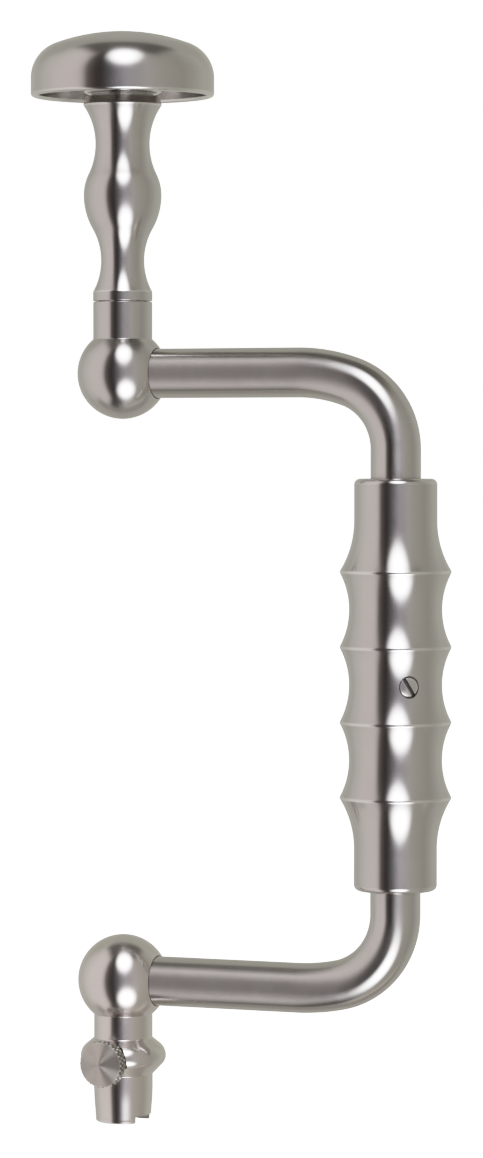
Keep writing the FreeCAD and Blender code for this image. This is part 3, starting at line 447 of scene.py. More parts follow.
def finish_piece(piece: Object, material: bpy.types.Material, body: str,
                 nodes: Iterable[str]) -> Object:
    """Shade a piece smoothly between its sharp edges, dress it and set it on its body.

    Args:
        piece: the new piece.
        material: its finish.
        body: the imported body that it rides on.
        nodes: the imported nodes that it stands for.

    Returns:
        The piece.
    """
    mesh = piece.data
    owned = np.zeros(len(mesh.polygons), np.int32)
    mesh.polygons.foreach_get("material_index", owned)
    kinds = list(mesh.materials) or [None]
    mesh.materials.clear()
    mesh.materials.append(material)
    renamed = np.zeros(len(kinds), np.int32)
    for index, kind in enumerate(kinds):
        if kind is not None and kind is not material:
            mesh.materials.append(kind)
            renamed[index] = len(mesh.materials) - 1
    mesh.polygons.foreach_set("material_index", renamed[np.minimum(owned, len(kinds) - 1)])
    mesh.polygons.foreach_set("use_smooth", np.ones(len(mesh.polygons), bool))
    mesh.set_sharp_from_angle(angle=math.radians(SHARP_ANGLE))
    mesh.update()
    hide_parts(*nodes)
    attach(piece, body)
    LOG.info("%s: %d faces on %s", piece.name, len(mesh.polygons), body)
    return piece


def place_at(x: float, y: float, z: float) -> Matrix:
    """Return the matrix that moves a piece by millimetres."""
    return Matrix.Translation((x, y, z))


def facing(angle: float, x: float, z: float, roll: float = 0.0) -> Matrix:
    """Return a frame whose Z axis points out of the front, turned towards the crank.

    Args:
        angle: degrees from the front towards +X.
        x: place along the crank.
        z: height.
        roll: degrees about the outward axis.

    Returns:
        The frame, in millimetres.
    """
    turn = Matrix.Rotation(math.radians(angle), 4, "Z")
    tip = Matrix.Rotation(math.radians(90.0), 4, "X")
    spin = Matrix.Rotation(math.radians(roll), 4, "Z")
    return Matrix.Translation((x, 0.0, z)) @ turn @ tip @ spin


LYING = Matrix.Rotation(math.radians(90.0), 4, "Y")


# Finishes


class Graph:
    """Small helper that adds and links the nodes of one tree."""

    def __init__(self, tree: bpy.types.NodeTree) -> None:
        """Take an empty tree."""
        self.tree = tree
        tree.nodes.clear()

    def add(self, kind: str, inputs: Optional[dict] = None, **settings: object) -> Node:
        """Add a node.

        Args:
            kind: Blender's name of the node type.
            inputs: a value or an output socket for each input, by name or number.
            settings: properties of the node.

        Returns:
            The node.
        """
        node = self.tree.nodes.new(kind)
        for name, value in settings.items():
            setattr(node, name, value)
        for name, value in (inputs or {}).items():
            self.plug(value, node.inputs[name])
        return node

    def plug(self, value: object, target: Socket) -> None:
        """Link an output to an input, or set the input's own value.

        Args:
            value: an output socket, or a plain value.
            target: the input.
        """
        if isinstance(value, Socket):
            self.tree.links.new(value, target)
        else:
            target.default_value = value

    def math(self, operation: str, first: object, second: object = 0.0) -> Socket:
        """Return the output of a math node with two inputs."""
        return self.add("ShaderNodeMath", {0: first, 1: second},
                        operation=operation).outputs[0]

    def smooth(self, value: object, low: float, high: float) -> Socket:
        """Add a soft step from 0 at low to 1 at high.

        Args:
            value: what the step reads.
            low: where it gives 0.
            high: where it gives 1, which may lie below low.

        Returns:
            The step's output.
        """
        backward = low > high
        node = self.add("ShaderNodeMapRange",
                        {"Value": value, "From Min": min(low, high), "From Max": max(low, high),
                         "To Min": 1.0 if backward else 0.0, "To Max": 0.0 if backward else 1.0},
                        interpolation_type="SMOOTHSTEP")
        return node.outputs[0]

    def mix(self, share: object, first: object, second: object) -> Socket:
        """Mix two colours.

        Args:
            share: how much of the second colour is taken.
            first: one colour.
            second: the other colour.

        Returns:
            The mixture.
        """
        node = self.add("ShaderNodeMix", data_type="RGBA")
        self.plug(share, node.inputs[0])
        self.plug(first, node.inputs[6])
        self.plug(second, node.inputs[7])
        return node.outputs[2]

    def ramp(self, value: object, stops: list[tuple[float, tuple]]) -> Socket:
        """Add a colour ramp.

        Args:
            value: what the ramp reads.
            stops: place and linear colour of each stop.

        Returns:
            The ramp's colour.
        """
        node = self.add("ShaderNodeValToRGB", {0: value})
        elements = node.color_ramp.elements
        while len(elements) < len(stops):
            elements.new(0.5)
        for element, (place, colour) in zip(elements, sorted(stops)):
            element.position = place
            element.color = (*colour, 1.0)
        return node.outputs[0]

    def noise(self, vector: object, scale: float, detail: float, rough: float = 0.5) -> Socket:
        """Add a noise texture.

        Args:
            vector: where it is read.
            scale: how fine it is.
            detail: how many finer layers it has.
            rough: how strong the finer layers are.

        Returns:
            Its value.
        """
        node = self.add("ShaderNodeTexNoise", {"Vector": vector, "Scale": scale,
                                               "Detail": detail, "Roughness": rough})
        return node.outputs[0]


class Lay(Enum):
    """Which way the fine lines of a machined surface run."""

    MAPPED = "round the axis of the piece's own map"
    RADIAL = "round the upright axis through the object"


# Colour of rubbed edges: partly real rubbing, partly painted highlight.
WORN_HIGHLIGHT = (0.95, 0.94, 0.92, 1.0)
LINE_RING = 1.2  # radius in noise space of one turn round a mapped piece
LINE_ACROSS = 90.0  # noise scale across the lines of a radial finish, per metre
CLOUD_SCALE = 95.0
PATCH_SCALE = 420.0
BUMP_DISTANCE = 0.00002
POLISH_SPAN = 0.1  # how much the roughness varies, as a share of it


@dataclass(frozen=True)
class Metal:
    """A machined metal with fine turning lines, soft mottling and uneven polish.

    Args:
        name: name of the material.
        colour: linear base colour.
        roughness: middle roughness.
        stretch: anisotropy of the reflections across the lines.
        lay: which way the lines run.
        lines: lines per millimetre along the profile.
        depth: strength of the lines.
        mottle: how much the colour varies.
        wear_highlight: how much paler the rubbed edges are, partly real rubbing and partly
            painted highlight.
    """

    name: str
    colour: tuple[float, float, float]
    roughness: float
    stretch: float
    lay: Lay
    lines: float = 6.0
    depth: float = 0.10
    mottle: float = 0.06
    wear_highlight: float = 0.55

    def build(self) -> bpy.types.Material:
        """Build the node material.

        Fine noise stretched round the axis gives the turning lines. Clouds and smaller
        patches vary the colour and the polish, and rubbed edges are paler, partly real
        rubbing and partly painted highlight.

        Returns:
            The material.
        """
        material = bpy.data.materials.new(self.name)
        material.use_nodes = True
        graph = Graph(material.node_tree)
        place = graph.add("ShaderNodeTexCoord").outputs["Object"]
        if self.lay is Lay.MAPPED:
            tangent = graph.add("ShaderNodeTangent", direction_type="UV_MAP",
                                uv_map="turned").outputs[0]
            mapped = graph.add("ShaderNodeUVMap", uv_map="turned").outputs[0]
            split = graph.add("ShaderNodeSeparateXYZ", {0: mapped})
            turn = graph.math("MULTIPLY", split.outputs[0], 2 * math.pi)
            ring = graph.add("ShaderNodeCombineXYZ", {
                0: graph.math("MULTIPLY", graph.math("COSINE", turn), LINE_RING),
                1: graph.math("MULTIPLY", graph.math("SINE", turn), LINE_RING),
                2: graph.math("MULTIPLY", split.outputs[1], self.lines)}).outputs[0]
        else:
            tangent = graph.add("ShaderNodeTangent", direction_type="RADIAL",
                                axis="Z").outputs[0]
            ring = graph.add("ShaderNodeMapping", {
                "Vector": place,
                "Scale": (LINE_ACROSS, LINE_ACROSS, self.lines / MM)}).outputs[0]
        line = graph.noise(ring, 1.0, 3.0, 0.6)
        cloud = graph.noise(place, CLOUD_SCALE, 4.0, 0.55)
        patch = graph.noise(place, PATCH_SCALE, 2.0, 0.5)
        dark = tuple(channel * (1 - self.mottle) for channel in self.colour)
        light = tuple(min(channel * (1 + self.mottle), 1.0) for channel in self.colour)
        tone = graph.math("ADD", graph.math("MULTIPLY", cloud, 0.6),
                          graph.math("MULTIPLY", line, 0.4))
        # Rubbed edges are painted paler: partly real rubbing, partly painted highlight.
        edge = graph.add("ShaderNodeAttribute", attribute_name="worn_edge_highlight").outputs["Fac"]
        colour = graph.mix(graph.math("MULTIPLY", edge, self.wear_highlight),
                           graph.ramp(tone, [(0.32, dark), (0.68, light)]), WORN_HIGHLIGHT)
        polish = graph.add("ShaderNodeMapRange", {
            "Value": graph.math("ADD", graph.math("MULTIPLY", cloud, 0.5),
                                graph.math("MULTIPLY", patch, 0.5)),
            "From Min": 0.3, "From Max": 0.7,
            "To Min": self.roughness * (1 - POLISH_SPAN),
            "To Max": self.roughness * (1 + POLISH_SPAN)}).outputs[0]
        bump = graph.add("ShaderNodeBump", {"Height": line, "Strength": self.depth,
                                            "Distance": BUMP_DISTANCE}).outputs[0]
        shader = graph.add("ShaderNodeBsdfPrincipled", {
            "Base Color": colour, "Metallic": 1.0, "Roughness": polish,
            "Anisotropic": self.stretch, "Anisotropic Rotation": 0.25,
            "Tangent": tangent, "Normal": bump})
        graph.add("ShaderNodeOutputMaterial", {0: shader.outputs[0]})
        return material


STEEL = (0.65, 0.622, 0.602)


@dataclass
class Finishes:
    """Every finish of the brace, built once."""

    satin: Metal = Metal("satin_turned_steel", STEEL, 0.185, 0.85, Lay.MAPPED, 6.0, 0.05,
                         0.03)
    # The chuck's satin steel painted lighter: painted light for the brighter light that the chuck
    # gets.
    chuck: Metal = Metal("satin_steel_painted_lighter", (0.76, 0.715, 0.69), 0.185, 0.85, Lay.MAPPED,
                         6.0, 0.05, 0.03)
    knurled: Metal = Metal("knurled_rim_steel", (0.15, 0.12, 0.09), 0.3, 0.0, Lay.MAPPED,
                           6.0, 0.1, 0.1, 0.8)
    brushed: Metal = Metal("brushed_bar_steel", STEEL, 0.19, 1.0, Lay.MAPPED, 5.0, 0.09,
                           0.03)
    faced: Metal = Metal("faced_screw_steel", (0.64, 0.60, 0.56), 0.3, 1.0, Lay.MAPPED, 9.0,
                         0.08)
    bright: Metal = Metal("machined_steel", (0.66, 0.63, 0.6), 0.24, 0.5, Lay.RADIAL)
    ground: Metal = Metal("ground_bearing_steel", (0.7, 0.7, 0.71), 0.1, 0.0, Lay.RADIAL,
                          3.0, 0.02, 0.03)
    bronze: Metal = Metal("bearing_bronze", (0.56, 0.36, 0.17), 0.3, 0.5, Lay.RADIAL, 5.0,
                          0.1, 0.1)
    brass: Metal = Metal("stamped_brass", (0.7, 0.52, 0.24), 0.28, 0.2, Lay.RADIAL, 2.0, 0.05,
                         0.08)
    screw: Metal = Metal("turned_screw_steel", STEEL, 0.2, 0.6, Lay.MAPPED, 8.0, 0.1)
    # Dark lining for the cut faces of slots, holes and seams: painted shade.
    painted_shade: Metal = Metal("painted_recess_shade", (0.17, 0.155, 0.148), 0.45, 0.0, Lay.MAPPED, 4.0, 0.1,
                          0.2, 0.0)
    built: dict[str, bpy.types.Material] = field(default_factory=dict)

    def of(self, finish: Metal) -> bpy.types.Material:
        """Look up the material of a finish, built on its first use.

        Args:
            finish: one of the finishes.

        Returns:
            Its material.
        """
        if finish.name not in self.built:
            self.built[finish.name] = finish.build()
        return self.built[finish.name]


# The brace


@dataclass
class Crank:
    """The bent bar between the two balls."""

    bar: float = 12.7
    throw: float = 74.3
    lower_arm: float = 36.5
    upper_arm: float = 192.3
    bar_end: float = 1.0
    lower_lead: tuple[float, float] = (55.1, 12.0)
    lower_tight: float = 18.9
    upper_lead: tuple[float, float] = (42.2, 19.7)
    upper_tight: float = 18.0
    end_shares: tuple[float, ...] = (0.0, 0.9, 0.97)
    end_insets: tuple[float, ...] = (0.0, 0.0, 0.1)
    end_step: float = 1e-4

    def bend(self, level: float, lead: tuple[float, float], tight: float, way: int) -> Array:
        """Return the two arcs of a bend, from its arm to the upright.

        The easy arc starts level and turns by its angle; the tight arc turns the rest of
        the way to upright. The angle grows evenly along each arc.

        Args:
            level: height of the arm.
            lead: radius and angle of the easy arc.
            tight: radius of the tight arc.
            way: 1 where the bend rises and -1 where it falls.

        Returns:
            Points of both arcs as X and Z.
        """
        wide, angle = lead[0], math.radians(lead[1])
        reach = wide * math.sin(angle) + tight * (1 - math.sin(angle))
        first = np.linspace(0.0, angle, 14)
        second = np.linspace(angle, math.pi / 2, 40)[1:]
        x = np.concatenate([wide * np.sin(first),
                            wide * math.sin(angle) + tight * (np.sin(second)
                                                              - math.sin(angle))])
        z = np.concatenate([wide * (1 - np.cos(first)),
                            wide * (1 - math.cos(angle)) + tight * (math.cos(angle)
                                                                    - np.cos(second))])
        return np.stack([self.throw - reach + x, level + way * z], axis=1)

    def path(self) -> Array:
        """Join the arms, the bends and the upright.

        Returns:
            The bar's middle line from the lower to the upper ball, as X and Z.
        """
        low = self.bend(self.lower_arm, self.lower_lead, self.lower_tight, 1)
        high = self.bend(self.upper_arm, self.upper_lead, self.upper_tight, -1)[::-1]
        return np.concatenate([
            spread((self.bar_end, self.lower_arm), low[0], 24), low,
            spread(low[-1], high[0], 60)[1:-1], high,
            spread(high[-1], (self.bar_end, self.upper_arm), 24)[1:]])

    def build(self, finishes: Finishes) -> None:
        """Make and dress the bar.

        Each end, hidden in its ball, is closed by a few circles that shrink to a point,
        a hair apart along X so that the path never stands still.

        Args:
            finishes: the finishes of the brace.
        """
        path = self.path()
        shares, insets = np.array(self.end_shares), np.array(self.end_insets)
        inset = np.stack([insets, 0 * insets], axis=1)
        apart = self.end_step * np.arange(len(insets))[:, None] * (1, 0)
        first, last = path[:1] + inset + apart, path[-1:] + inset + apart
        inner = path[1:-1]
        whole = np.concatenate([first, inner, last[::-1]])
        radii = np.concatenate([shares, np.ones(len(inner)), shares[::-1]]) * self.bar / 2
        bar = make("bent_crank_bar", carried(whole, radii))
        finish_piece(bar, finishes.of(finishes.brushed), "frame",
                     ["crank_rod"])


def spread(first: Iterable[float], last: Iterable[float], count: int) -> Array:
    """Space points evenly from one point to another.

    Args:
        first: the first point.
        last: the last point.
        count: how many points, both ends among them.

    Returns:
        The points.
    """
    share = np.linspace(0.0, 1.0, count)[:, None]
    return (1 - share) * np.array(first, float) + share * np.array(last, float)


@dataclass
class BallEnds:
    """What the two ball ends share: the ball, the seat of the bar and its fine seam."""

    ball: float = 23.3
    bar: float = 12.7
    seat_gap: float = 0.03
    seam: float = 0.22
    seam_flare: float = 2.2
    seam_rise: float = 1.2
    bar_end: float = 1.0

    def crossing(self, across: float) -> float:
        """Return how far from the ball's centre a coaxial cylinder leaves the ball."""
        return math.sqrt((self.ball / 2) ** 2 - across ** 2)

    def seat_cutter(self, level: float) -> Object:
        """Return the cutter of the bar's seat.

        A cylinder along +X that opens in a narrow cone where it leaves the ball, which
        shows as the fine seam round the bar, dark with the painted shade of its lining.

        Args:
            level: height of the ball's centre.

        Returns:
            The cutter.
        """
        radius = self.bar / 2 + self.seat_gap
        out = self.crossing(radius)
        mouth, top = radius + self.seam * self.seam_flare, out + self.seam * self.seam_rise
        outline = Outline((0.0, self.bar_end)).line(radius, self.bar_end)
        outline.line(radius, out - self.seam).line(mouth, top).line(0.0, top)
        surface = turned(outline.points(), columns=192)
        return make("seat_cutter", surface, place_at(0, 0, level) @ LYING)


@dataclass
class UpperBoss(BallEnds):
    """Ball of the upper arm with the plain neck under the palm rest."""

    level: float = 192.3
    neck: float = 15.2
    neck_top: float = 210.65
    chamfer: float = 0.12
    root: float = 7.06
    root_depth: float = 10.25
    plain_edge: tuple[float, float] = (0.3, 0.1)

    def build(self, finishes: Finishes) -> None:
        """Make and dress the ball and its neck.

        The neck's top edge, at the fine gap under the handle, stays as dark as the rest.

        Args:
            finishes: the finishes of the brace.
        """
        ball, neck = self.ball / 2, self.neck / 2
        meet = self.level + self.crossing(neck)
        outline = Outline((0.0, self.level - ball)).arc(ball, self.level, ball, 1)
        outline.arc(neck, meet, ball, 1, edge=0.12).line(neck, self.neck_top - self.chamfer, 0.05)
        outline.line(neck - self.chamfer, self.neck_top, 0.05)
        outline.line(self.root / 2, self.neck_top)
        outline.line(self.root / 2, self.neck_top - self.root_depth)
        outline.line(0.0, self.neck_top - self.root_depth)
        below, above = self.plain_edge
        surface = turned(outline.points(), plain=(self.neck_top - below, self.neck_top + above))
        piece = make("upper_ball_and_neck", surface)
        # The seat's cut faces get the lining of painted shade.
        carve(piece, [self.seat_cutter(self.level)], finishes.of(finishes.painted_shade))
        finish_piece(piece, finishes.of(finishes.satin), "frame",
                     ["upper_ball_boss"])


def tangent_point(x: float, z: float, centre: tuple[float, float], curve: float, side: int
                  ) -> tuple[float, float]:
    """Return where a line from a point touches a circle.

    The touching radius stands off the line to the point by the angle whose cosine is the
    circle's radius over the point's distance.

    Args:
        x: radius of the point.
        z: height of the point.
        centre: centre of the circle.
        curve: radius of the circle.
        side: 1 or -1, which of the two tangents.

    Returns:
        The touching point.
    """
    across, up = x - centre[0], z - centre[1]
    turn = math.atan2(up, across) + side * math.acos(curve / math.hypot(across, up))
    return centre[0] + curve * math.cos(turn), centre[1] + curve * math.sin(turn)


@dataclass
class Chuck(BallEnds):
    """Lower ball, neck, ring and notched socket in one, and its thumb screw."""

    level: float = 36.5
    neck: float = 15.1
    ring: float = 22.0
    ring_level: float = 16.9
    upper_round: float = 4.0
    lower_round: float = 2.9
    shoulder: float = 4.7
    socket: float = 15.2
    taper: float = 7.4
    taper_round: float = 2.4
    mouth: float = 14.2
    land: float = 1.0
    chamfer: float = 0.3
    bore: float = 9.5
    bore_depth: float = 23.6
    bore_tip: float = 118.0
    bevel: float = 0.5
    notch_width: float = 9.3
    notch_height: float = 1.95
    screw_angle: float = -4.4
    hole_start: float = 2.0
    hole_rise: float = 0.2
    hole_flare: float = 0.4
    screw_hole: float = 4.1
    screw_drop: float = 0.9
    flat: float = 11.5
    flat_distance: float = 8.6
    flat_round: float = 0.25
    flat_reach: float = 8.0
    head_gap: float = 1.25
    head: float = 12.0
    head_thickness: float = 3.1
    head_cone: float = 1.0
    head_chamfer: float = 0.3
    cone_edge: tuple[float, float] = (0.08, 0.02)
    head_columns: int = 720
    rim_rows: int = 34
    cone_rows: int = 30
    spigot: float = 3.26
    spigot_length: float = 1.93
    knurls: int = 30
    knurl_depth: float = 0.32
    knurl_angle: float = 30.0
    knurl_slope: float = 1.15

    def screw_frame(self) -> Matrix:
        """Return the frame of the thumb screw, its Z axis out along the screw."""
        return facing(self.screw_angle, 0.0, self.ring_level - self.screw_drop)

    def outline(self) -> Array:
        """Draw the profile, from the drilled end round the mouth to the ball's top.

        Straight lines touch the ring's two arcs from the neck and from the socket.

        Returns:
            Radii and heights.
        """
        ball, neck, socket = self.ball / 2, self.neck / 2, self.socket / 2
        bore, mouth, ring = self.bore / 2, self.mouth / 2, self.ring / 2
        high = (ring - self.upper_round, self.ring_level)
        low = (ring - self.lower_round, self.ring_level)
        top = self.ring_level + self.shoulder
        foot = self.ring_level - self.shoulder
        upper = tangent_point(neck, top, high, self.upper_round, -1)
        lower = tangent_point(socket, foot, low, self.lower_round, 1)
        tip = self.bore_depth + bore / math.tan(math.radians(self.bore_tip / 2))
        line = Outline((0.0, tip)).line(bore, self.bore_depth).line(bore, self.bevel)
        line.line(bore + self.bevel, 0.0, 0.05).line(mouth - self.chamfer, 0.0, 0.1)
        line.line(mouth, self.chamfer, 0.1).line(mouth, self.land, 0.25)
        line.line(socket, self.taper, self.taper_round)
        line.line(socket, foot, 0.12).line(*lower)
        line.arc(ring, self.ring_level, self.lower_round, 1)
        line.arc(*upper, self.upper_round, 1).line(neck, top, 0.25)
        line.line(neck, self.level - self.crossing(neck), 0.12)
        line.arc(ball, self.level, ball, 1).arc(0.0, self.level + ball, ball, 1)
        return line.points()

    def notch_cutter(self) -> Object:
        """Make the cutter of the square drive notch in the crank's side of the mouth.

        Returns:
            The cutter, a block on the crank's side of the axis.
        """
        side, reach = self.notch_width / 2, self.socket
        outline = np.array([(0.0, -side), (reach, -side), (reach, side), (0.0, side)])
        return make("notch_cutter", block(outline, -2.0, self.notch_height))

    def flat_cutter(self) -> Object:
        """Make the cutter of the round flat that the thumb screw stands over.

        Returns:
            The cutter, a cylinder out along the screw.
        """
        radius, floor = self.flat / 2, self.flat_distance
        line = Outline((0.0, floor)).line(radius, floor, self.flat_round)
        line.line(radius, floor + self.flat_reach).line(0.0, floor + self.flat_reach)
        return make("flat_cutter", turned(line.points(), columns=160), self.screw_frame())

    def hole_cutter(self) -> Object:
        """Make the cutter of the screw's hole, from inside the bore to past the flat.

        Returns:
            The cutter, a cylinder that flares where it leaves the flat.
        """
        radius, floor = self.screw_hole / 2, self.flat_distance
        low, high = floor - self.hole_rise, floor + self.hole_rise
        line = Outline((0.0, self.hole_start)).line(radius, self.hole_start)
        line.line(radius, low).line(radius + self.hole_flare, high).line(0.0, high)
        return make("hole_cutter", turned(line.points(), columns=64), self.screw_frame())

    def knurl(self, angle: Array, radius: Array, height: Array) -> Array:
        """Return the rim's radius with its diamond knurl.

        Two sets of slanted V grooves cross: each is a triangle wave in the angle plus or
        minus the height over the groove's lead. The deeper of the two is taken off, and
        only from the rim itself, fading out over its chamfers.

        Args:
            angle: angle of each point.
            radius: its radius before the cut.
            height: its height along the screw.

        Returns:
            Its radius after the cut.
        """
        back = self.flat_distance + self.head_gap
        middle = back + self.head_thickness / 2
        lead = math.tan(math.radians(self.knurl_angle)) / (self.head / 2)
        depth = np.zeros_like(radius)
        for way in (1, -1):
            phase = self.knurls * (angle + way * lead * (height - middle)) / (2 * np.pi)
            wave = np.abs(phase - np.round(phase)) * 2
            depth = np.maximum(depth, np.clip(1 - wave * self.knurl_slope, 0.0, 1.0))
        reach = np.clip((radius - (self.head / 2 - self.head_chamfer)) / self.head_chamfer, 0, 1)
        return radius - self.knurl_depth * depth * reach

    def screw_head(self) -> Object:
        """Make the knurled head with a shallow cone on its face.

        The profile runs from the hole for the shank over the back, the rim and the front
        chamfer to the cone's tip, with rows close enough for the knurl.

        Returns:
            The head.
        """
        rim, back = self.head / 2, self.flat_distance + self.head_gap
        front = back + self.head_thickness
        inside, floor = self.spigot / 2, back + self.spigot_length
        line = Outline((0.0, floor)).line(inside, floor).line(inside, back)
        line.line(rim - self.head_chamfer, back).line(rim, back + self.head_chamfer)
        outline = line.points()[:-1]
        rows = spread((rim, back + self.head_chamfer), (rim, front - self.head_chamfer),
                      self.rim_rows)
        bevel = spread(rows[-1], (rim - self.head_chamfer, front), 5)[1:]
        bevel_back = spread(outline[-1], rows[0], 5)[1:-1]
        inward, outward = self.cone_edge
        face = spread((rim - self.head_chamfer - inward, front + outward),
                      (0.0, front + self.head_cone), self.cone_rows)
        profile = np.concatenate([outline, bevel_back, rows, bevel, face])
        surface = turned(profile, columns=self.head_columns, relief=self.knurl)
        return make("knurled_screw_head", surface, self.screw_frame())

    def line_rim(self, head: Object, material: bpy.types.Material) -> None:
        """Give the knurled rim of the head its own finish.

        Args:
            head: the screw's head, as it stands.
            material: finish of the faces between the rim's chamfers.
        """
        mesh = head.data
        places = np.zeros(len(mesh.polygons) * 3)
        mesh.polygons.foreach_get("center", places)
        back = np.array(self.screw_frame().inverted())
        own = (places.reshape(-1, 3) / MM) @ back[:3, :3].T + back[:3, 3]
        level = own[:, 2] - self.flat_distance - self.head_gap
        rim = ((np.hypot(own[:, 0], own[:, 1]) > self.head / 2 - self.knurl_depth - 0.05)
               & (level > self.head_chamfer / 2)
               & (level < self.head_thickness - self.head_chamfer / 2))
        mesh.materials.append(None)
        mesh.materials.append(material)
        mesh.polygons.foreach_set("material_index", rim.astype(np.int32))

    def build(self, finishes: Finishes) -> None:
        """Make and dress the chuck and the head of its thumb screw.

        Args:
            finishes: the finishes of the brace.
        """
        body = make("tool_chuck", turned(self.outline(), columns=288))
        carve(body, [self.notch_cutter(), self.flat_cutter()])
        # The seat's seam and the screw hole get the lining of painted shade.
        carve(body, [self.seat_cutter(self.level), self.hole_cutter()],
              finishes.of(finishes.painted_shade))
        # The chuck takes the lighter copy of the satin steel, painted light.
        finish_piece(body, finishes.of(finishes.chuck), "frame", ["chuck_body"])
        head = self.screw_head()
        self.line_rim(head, finishes.of(finishes.knurled))
        finish_piece(head, finishes.of(finishes.faced), "screw_head",
                     ["thumb_screw_head"])


@dataclass
class PalmRest:
    """The free-turning handle with the hollow knob on it."""

    foot: float = 210.85
    band: float = 15.26
    chamfer: float = 0.12
    waist: tuple[float, float, float] = (11.12, 221.23, 16.4)
    bulge: tuple[float, float] = (19.98, 237.96)
    neck: tuple[float, float, float] = (13.94, 251.0, 17.4)
    flare: float = 20.2
    top: float = 263.1
    top_width: float = 18.9
    bore: float = 8.0
    race_seat: float = 12.4
    race_top: float = 213.678
    room: float = 11.0
    room_floor: float = 250.6
    stub: float = 13.0
    stub_length: float = 5.0
    stub_room: float = 0.6
    knob_top: float = 279.7
    knob_rim: float = 263.0
    knob: float = 47.0
    crown: float = 50.0
    knob_shoulder: float = 9.3
    wall: float = 1.8
    hub: float = 20.0
    hub_lift: float = 0.7
    hub_bevel: tuple[float, float] = (0.75, 0.5)
    hub_grooves: int = 3
    groove_start: float = 0.85
    groove_pitch: float = 0.8
    groove_depth: float = 0.25
    groove_half: float = 0.2
    collar: float = 16.0
    thread_gap: float = 0.03
    plain_edge: tuple[float, float] = (0.1, 0.3)

    def bulge_curve(self, narrow: tuple[float, float, float]) -> tuple[float, float, float]:
        """Return the bulge's radius towards a waist, and the point where both curves meet.

        Two arcs that meet in one tangent share out the distance between the bulge and
        the waist in the ratio of their radii.

        Args:
            narrow: diameter, height and radius of the waist.

        Returns:
            Radius of the bulge, and radius and height of the meeting point.
        """
        rise = abs(self.bulge[1] - narrow[1])
        step = (self.bulge[0] - narrow[0]) / 2
        curve = (rise ** 2 + step ** 2) / (2 * step) - narrow[2]
        share = narrow[2] / (narrow[2] + curve)
        return (curve, narrow[0] / 2 + step * share,
                narrow[1] + (self.bulge[1] - narrow[1]) * share)

    def handle_outline(self) -> Array:
        """Draw the ring profile of the waisted handle.

        Outside, arcs that meet in a tangent make the waist, the bulge and the neck.
        Inside are the race's seat, the bore, the room for the nut and the tapped end.

        Returns:
            Radii and heights.
        """
        band, flare = self.band / 2, self.flare / 2
        waist, waist_z, waist_curve = self.waist[0] / 2, self.waist[1], self.waist[2]
        neck, neck_z, neck_curve = self.neck[0] / 2, self.neck[1], self.neck[2]
        low_curve, low_x, low_z = self.bulge_curve(self.waist)
        high_curve, high_x, high_z = self.bulge_curve(self.neck)
        band_top = waist_z - math.sqrt(waist_curve ** 2 - (waist + waist_curve - band) ** 2)
        flare_z = neck_z + math.sqrt(neck_curve ** 2 - (neck + neck_curve - flare) ** 2)
        seat, bore = self.race_seat / 2, self.bore / 2
        tapped = self.stub / 2 + self.thread_gap
        tapped_floor = self.top - self.stub_length - self.stub_room
        line = Outline((seat, self.foot)).line(band - self.chamfer, self.foot, 0.05)
        line.line(band, self.foot + self.chamfer, 0.08).line(band, band_top, 0.15)
        line.arc(waist, waist_z, waist_curve, -1).arc(low_x, low_z, waist_curve, -1)
        line.arc(self.bulge[0] / 2, self.bulge[1], low_curve, 1)
        line.arc(high_x, high_z, high_curve, 1).arc(neck, neck_z, neck_curve, -1)
        line.arc(flare, flare_z, neck_curve, -1, edge=0.15)
        line.line(self.top_width / 2, self.top, 0.1).line(tapped, self.top)
        line.line(tapped, tapped_floor).line(self.room / 2, tapped_floor)
        line.line(self.room / 2, self.room_floor).line(bore, self.room_floor)
        line.line(bore, self.race_top).line(seat, self.race_top).line(seat, self.foot)
        return line.points(closed=True)

    def knob_outline(self) -> Array:
        """Draw the profile of the knob, from its stub round the shell to the apex.

        The crown and the shoulder are arcs that meet in a tangent, and the hollow
        follows both at the wall's thickness.

        Returns:
            Radii and heights.
        """
        outside, reach = self.knob / 2, self.crown - self.knob_shoulder
        crown_z, shoulder_x = self.knob_top - self.crown, self.knob / 2 - self.knob_shoulder
        rise = math.sqrt(reach ** 2 - shoulder_x ** 2)
        shoulder_z, sine, cosine = crown_z + rise, shoulder_x / reach, rise / reach
        inner_crown, inner_shoulder = self.crown - self.wall, self.knob_shoulder - self.wall
        rim, rim_z = self.wall / 2, self.knob_rim + self.wall / 2
        hub, hub_z = self.hub / 2, self.top + self.hub_lift
        hub_top = crown_z + math.sqrt(inner_crown ** 2 - hub ** 2)
        stub_z = self.top - self.stub_length
        line = Outline((0.0, stub_z)).line(self.stub / 2, stub_z, 0.3)
        line.line(self.stub / 2, self.top).line(self.collar / 2, self.top, 0.05)
        line.line(self.collar / 2, hub_z).line(hub - self.hub_bevel[0], hub_z, 0.1)
        line.line(hub, hub_z + self.hub_bevel[1], 0.1)
        for index in range(self.hub_grooves):
            low = hub_z + self.groove_start + self.groove_pitch * index
            line.line(hub, low).line(hub - self.groove_depth, low + self.groove_half)
            line.line(hub, low + 2 * self.groove_half)
        line.line(hub, hub_top, 0.5)
        line.arc(inner_crown * sine, crown_z + inner_crown * cosine, inner_crown, -1)
        line.arc(outside - self.wall, shoulder_z, inner_shoulder, -1)
        line.line(outside - self.wall, rim_z).arc(outside - rim, self.knob_rim, rim, 1)
        line.arc(outside, rim_z, rim, 1).line(outside, shoulder_z)
        line.arc(self.crown * sine, crown_z + self.crown * cosine, self.knob_shoulder, 1)
        line.arc(0.0, self.knob_top, self.crown, 1)
        return line.points()

